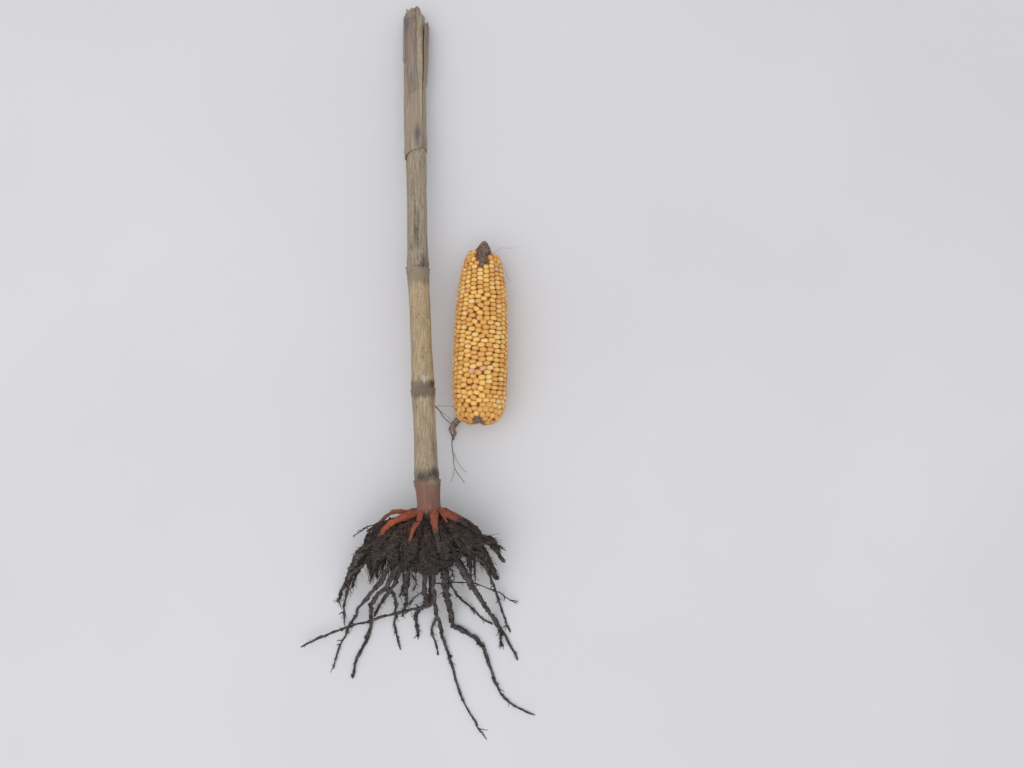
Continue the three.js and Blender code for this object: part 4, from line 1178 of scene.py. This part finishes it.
def kernel_grid():
    """Where the kernels sit: rows round the cob, filled from butt to tip at a drawn pitch. Some
    patches are in disorder, with rounder kernels, and at both ends there are fewer rows."""
    draw = np.random.default_rng(21)
    places = []
    for number in range(EAR_ROWS):
        pitch = KERNEL_PITCH * draw.uniform(0.9, 1.1, ROW_KERNELS) * draw.uniform(0.97, 1.04)
        gone = draw.uniform(0, 4) + np.cumsum(pitch)
        places.append(np.stack([gone, np.full(ROW_KERNELS, float(number)), pitch], -1))
    gone, row, pitch = np.vstack(places).T
    along, half = ear_line(gone)
    above = (row / EAR_ROWS * 360 - 90 + 180) % 360 - 180
    mess = 0.9 * bell(along, 98, 20) * bell(above, 2, 16) + bell(along, 38, 17) * bell(above, 4, 27)
    mess = np.clip(mess + np.clip((24 - along) / 12, 0, 1) + np.clip((along - 148) / 10, 0, 0.5), 0, 1)
    room = 2 * np.pi * half / EAR_ROWS
    keep = draw.uniform(size=len(gone)) < np.minimum(room / KERNEL_WIDTH, 1 - 0.04 * mess)
    gone, row, pitch, mess, room = (each[keep] for each in (gone, row, pitch, mess, room))
    gone = gone + mess * draw.normal(0, 1.2, len(gone))
    bent = row + mess * draw.normal(0, 0.22, len(row)) + 0.3 * np.sin(gone / 31)
    row = bent + 0.12 * np.sin(gone / 9 + row)
    tall = pitch * (1 + 0.24 * mess)
    wide = np.maximum(1 - 0.2 * mess, 4.6 / np.maximum(room, 1.2))
    gone, row = settled(gone, row, tall, wide)
    turn = 2 * np.pi * row / EAR_ROWS
    above = np.sin(turn)
    along, half = ear_line(gone)
    across = half * np.cos(turn)
    scar = bell(across, 0, 7) * (above > 0.3)
    butt = 8 * scar + 4 * np.clip((-8 - across) / 6, 0, 1) - 1.5
    bare = (np.abs(across - 0.8) < wedge_half(along)) & (above > 0)
    keep = (along > butt) & (half > SMALLEST_HALF) & (along < 161.5 - 4 * (across > 0)) & ~bare
    return (*(each[keep] for each in (gone, turn, tall, wide, mess)), draw)


def kernel_points(gone, turn, tall, wide, mess, draw):
    """All kernels as closed lumps. Each ring of one is a rounded oblong, as wide as its row and
    as long as its pitch, at its own height under the crown."""
    count = len(gone)
    place, across, forward, out = ear_frame(gone, turn)
    half_across = np.pi * ear_line(gone)[1] / EAR_ROWS * wide
    half_across = half_across * draw.uniform(0.96, 1.06, count) * (1 + 0.1 * mess)
    half_along = tall / 2 * draw.uniform(0.98, 1.08, count) * (1 + 0.07 * mess)
    turned = draw.normal(0, 1, count)[:, None] * (0.05 + 0.22 * mess[:, None])
    across, forward = (across * np.cos(turned) + forward * np.sin(turned),
                       forward * np.cos(turned) - across * np.sin(turned))
    tipped = draw.normal(size=(count, 2)) * (0.06 + 0.07 * mess[:, None])
    out = unit(out + across * tipped[:, :1] + forward * tipped[:, 1:])
    angle = 2 * np.pi * (np.arange(KERNEL_SIDES) + 0.5) / KERNEL_SIDES
    oblong = np.stack([np.sign(part) * np.abs(part) ** KERNEL_ROUNDNESS[:, None]
                       for part in (np.cos(angle)[None], np.sin(angle)[None])], -1)
    oblong = oblong * KERNEL_RINGS[:, None, None]
    level = np.broadcast_to(KERNEL_LEVELS[:, None], oblong.shape[:2])
    plump = draw.uniform(0.9, 1.25, count)[:, None, None, None]
    top = place + out * draw.normal(0, 0.18, count)[:, None]
    rings = (top[:, None, None]
             + across[:, None, None] * oblong[None, ..., :1] * half_across[:, None, None, None]
             + forward[:, None, None] * oblong[None, ..., 1:] * half_along[:, None, None, None]
             + out[:, None, None] * level[None, ..., None] * plump)
    crown = top - out * draw.uniform(-0.05, 0.35, count)[:, None]
    root = top - out * KERNEL_ROOT
    return np.concatenate([crown[:, None], rings.reshape(count, -1, 3), root[:, None]], 1)


def kernel_finish(name, face, edge):
    """Horny ripe grain: its own colour on the crown, deeper down its sides, softly glossy. The
    change from crown to sides is partly the grain's own and partly painted highlight and shade.
    """
    finish, shader = new_finish(name, 0.42, 0.45)
    depth = kept_share(finish, "depth")
    clouds = grain(finish, 420, start=2.0)
    shaded = seen(*(0.93 * np.array(face)))
    crown = mixed(finish, spread(finish, clouds, 0.35, 0.7), seen(*face), shaded)
    # Crown to sides: partly the grain's own colours, partly painted highlight and painted shade.
    colour_with(finish, shader, mixed(finish, spread(finish, depth, 0.0, 0.85), crown, seen(*edge)))
    raise_with(finish, shader, clouds, 0.15)
    return finish


def add_kernels():
    """The kernels, dealt out to their kinds and joined kind by kind. Those in disorder lean to
    the darker kinds."""
    *places, draw = kernel_grid()
    lumps = kernel_points(*places, draw)
    shares = np.cumsum([kind[0] for kind in KERNEL_KINDS.values()])
    chance = draw.uniform(0, 1, len(lumps))
    chance = np.where(chance < shares[-2], np.minimum(chance + 0.25 * places[-1], shares[-2]), chance)
    kind_of = np.searchsorted(shares, np.minimum(chance, shares[-1]))
    # How far each point is from the crown's colour: partly the grain's own, partly painted shade.
    depth = np.concatenate([[0.0], np.repeat(KERNEL_DEPTHS, KERNEL_SIDES), [1.0]])
    pieces = []
    for number, (name, (_, face, edge)) in enumerate(KERNEL_KINDS.items()):
        chosen = lumps[kind_of == number]
        points = kept_up(chosen.reshape(-1, 3))
        faces = tube_faces(len(KERNEL_RINGS), KERNEL_SIDES, len(chosen))
        piece = mesh_piece(name, points, faces, kernel_finish(name, face, edge))
        add_masks(piece, {"depth": np.tile(depth, len(chosen))})
        pieces.append(piece)
    return pieces


def chaff_finish():
    """Chaff of the cob: rust red between the kernels, grey-brown where it is bare."""
    finish, shader = new_finish("cob_chaff", 0.9, 0.15)
    bare = kept_share(finish, "bare")
    scales = grain(finish, 900, start=9.0)
    red = mixed(finish, spread(finish, scales, 0.35, 0.65), seen(146, 94, 70), seen(184, 130, 92))
    brown = mixed(finish, spread(finish, scales, 0.4, 0.6), seen(84, 64, 58), seen(160, 136, 118))
    colour_with(finish, shader, mixed(finish, bare, red, brown))
    raise_with(finish, shader, scales, 0.6)
    return finish


def make_cob():
    """The cob under the kernels: rings round the ear's axis, covered in rows of small scales,
    that comes out bare at the tip and as a scar at the butt."""
    covered, bare_rings, sides = 120, 160, 150
    start, end = COB_OUTLINE[0][0], COB_OUTLINE[-1][0]
    level = np.r_[np.linspace(start, COB_BARE, covered), np.linspace(COB_BARE + 0.2, end, bare_rings)]
    turn = -2 * np.pi * np.arange(sides)[None] / sides
    along, turn = (each.ravel() for each in np.broadcast_arrays(level[:, None], turn))
    middle, _, radial = ear_round(along, turn)
    half = np.interp(along, *np.transpose(COB_OUTLINE))
    spot = middle + radial * half[:, None]
    round_cob = turn * np.maximum(half, 4) / SCALE * np.pi
    scales = 0.5 * np.sin(along / SCALE * np.pi + 0.8 * unevenness(spot, 5, 70)) * np.sin(round_cob)
    scales = scales + 0.35 * unevenness(spot, 2.2, 71) + 0.3 * unevenness(spot, 1.2, 72)
    points = middle + radial * (half + scales * np.clip(half / 5, 0.15, 1))[:, None]
    lean = np.clip((along - 158) / 15, 0, 1)[:, None]
    points = points + lean * [1.4, 0, 1.2]
    ends = np.stack([points[:sides].mean(0) + [0, 1.0, 0], points[-sides:].mean(0) + [0, 0.4, 0]])
    points = np.vstack([ends[:1], points, ends[1:]])
    cob = mesh_piece("chaffy_cob", points, tube_faces(covered + bare_rings, sides), chaff_finish())
    along, half = np.pad(along, 1, "edge"), np.pad(half, 1, "edge")
    across = np.abs(points[:, 0] - EAR_TIP[0] - 0.8)
    bare = np.clip((wedge_half(along) - across) / 1.5, 0, 1) * (points[:, 2] > 27)
    scar = np.maximum(np.clip((10 - half) / 2, 0, 1), 1.5 * bell(points[:, 0] - EAR_BUTT[0], 0, 7))
    bare = np.maximum(bare, scar * np.clip((9 - along) / 3, 0, 1))
    add_masks(cob, {"bare": np.maximum(bare, np.clip((along - 157) / 3, 0, 1))})
    return cob


for piece in add_kernels():
    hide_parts("ear")
    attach(piece, "root")
cob = make_cob()
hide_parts("cob_tip", "cob_butt")
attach(cob, "root")


# The husk and silks
# What is left of the ear's wrapping: a shred of husk from under its butt, frayed into fibres,
# stiff threads of husk that still reach the stalk, and a few dry silks.
HUSK_LINE = [(34, 91, 14), (25.5, 83, 6.8), (18, 74, 2.8), (19, 67.5, 1.6), (18.8, 62, 1.2)]
# Threads of husk and silk: their points, half thickness at the start and at the end
THREADS = [
    ([(-2, 94.5, 36), (6, 92.5, 33), (11, 84.5, 16), (17.2, 78.5, 2)], 0.5, 0.4),
    ([(3, 94, 34), (14, 93.5, 24), (24, 92, 14), (31, 91, 10)], 0.22, 0.16),
    ([(4, 93, 33), (12, 86, 19), (18, 80, 6), (20, 77, 3)], 0.2, 0.15),
    ([(18.5, 68, 1.2), (17.4, 58, 0.6), (18.6, 45, 0.5), (20, 34, 0.4), (29, 21, 0.4)], 0.4, 0.16),
    ([(19.4, 50, 0.5), (22.5, 42, 0.5), (29, 33, 0.4), (33, 31, 0.3)], 0.18, 0.1),
    ([(20, 34, 0.4), (18.5, 27, 0.4), (16, 22, 0.3)], 0.14, 0.1),
    ([(60, 232, 34), (66, 228, 26), (70, 219, 12), (74, 214, 1)], 0.12, 0.08),
    ([(58, 236, 33), (66, 241, 30), (74, 243, 16), (80, 248, 2)], 0.1, 0.07),
]
THREAD_STATIONS = 60
THREAD_SIDES = 6


def make_shred():
    """The shred: flat fibres side by side that lie close, part round a small hole near the end
    and run out one by one."""
    count, stations = 15, 80
    draw = np.random.default_rng(80)
    line = curve_through(HUSK_LINE, stations)
    aside = unit(np.cross(np.gradient(line, axis=0), [0, 0, 1.0]))
    share = np.linspace(0, 1, stations)
    half = np.interp(share, [0, 0.55, 0.75, 0.86, 1], [2.9, 2.8, 2.3, 1.1, 0.6])
    place = np.linspace(-1, 1, count)[:, None]
    across = place * half + np.sign(place) * 0.6 * bell(share, 0.74, 0.07)
    height = 0.5 * place**2 + 0.35 * draw.uniform(0, 1, (count, 1)) + 0 * share
    paths = line + across[..., None] * aside + height[..., None] * [0, 0, 1.0]
    paths = paths + wander(draw, count, stations, 0.25) * [1, 1, 0.3]
    radii = draw.uniform(0.22, 0.34, (count, 1)) * (1 - 0.4 * share)
    finish = soil_finish("husk_fibres", seen(96, 78, 66), seen(160, 134, 116))
    return add_many("husk_shred_fibres", paths, radii, 8, finish, 0.2, 81)


def thread_points(knots, start, end, seed):
    """One thread: a thin tube through its points, wavering a little."""
    path = curve_through(knots, THREAD_STATIONS)
    path = path + wander(np.random.default_rng(seed), 1, THREAD_STATIONS, 0.35)[0] * [1, 1, 0.4]
    return one_tube(kept_up(path, 0.15), np.linspace(start, end, THREAD_STATIONS), THREAD_SIDES)


shred = make_shred()
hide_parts("husk_shred")
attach(shred, "root")
lines = [thread_points(*thread, seed) for seed, thread in enumerate(THREADS, 500)]
threads = mesh_piece("husk_threads", np.vstack(lines),
                     tube_faces(THREAD_STATIONS, THREAD_SIDES, len(lines)),
                     soil_finish("husk_threads", seen(78, 66, 56), seen(128, 108, 88)))
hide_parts("husk_thread")
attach(threads, "root")
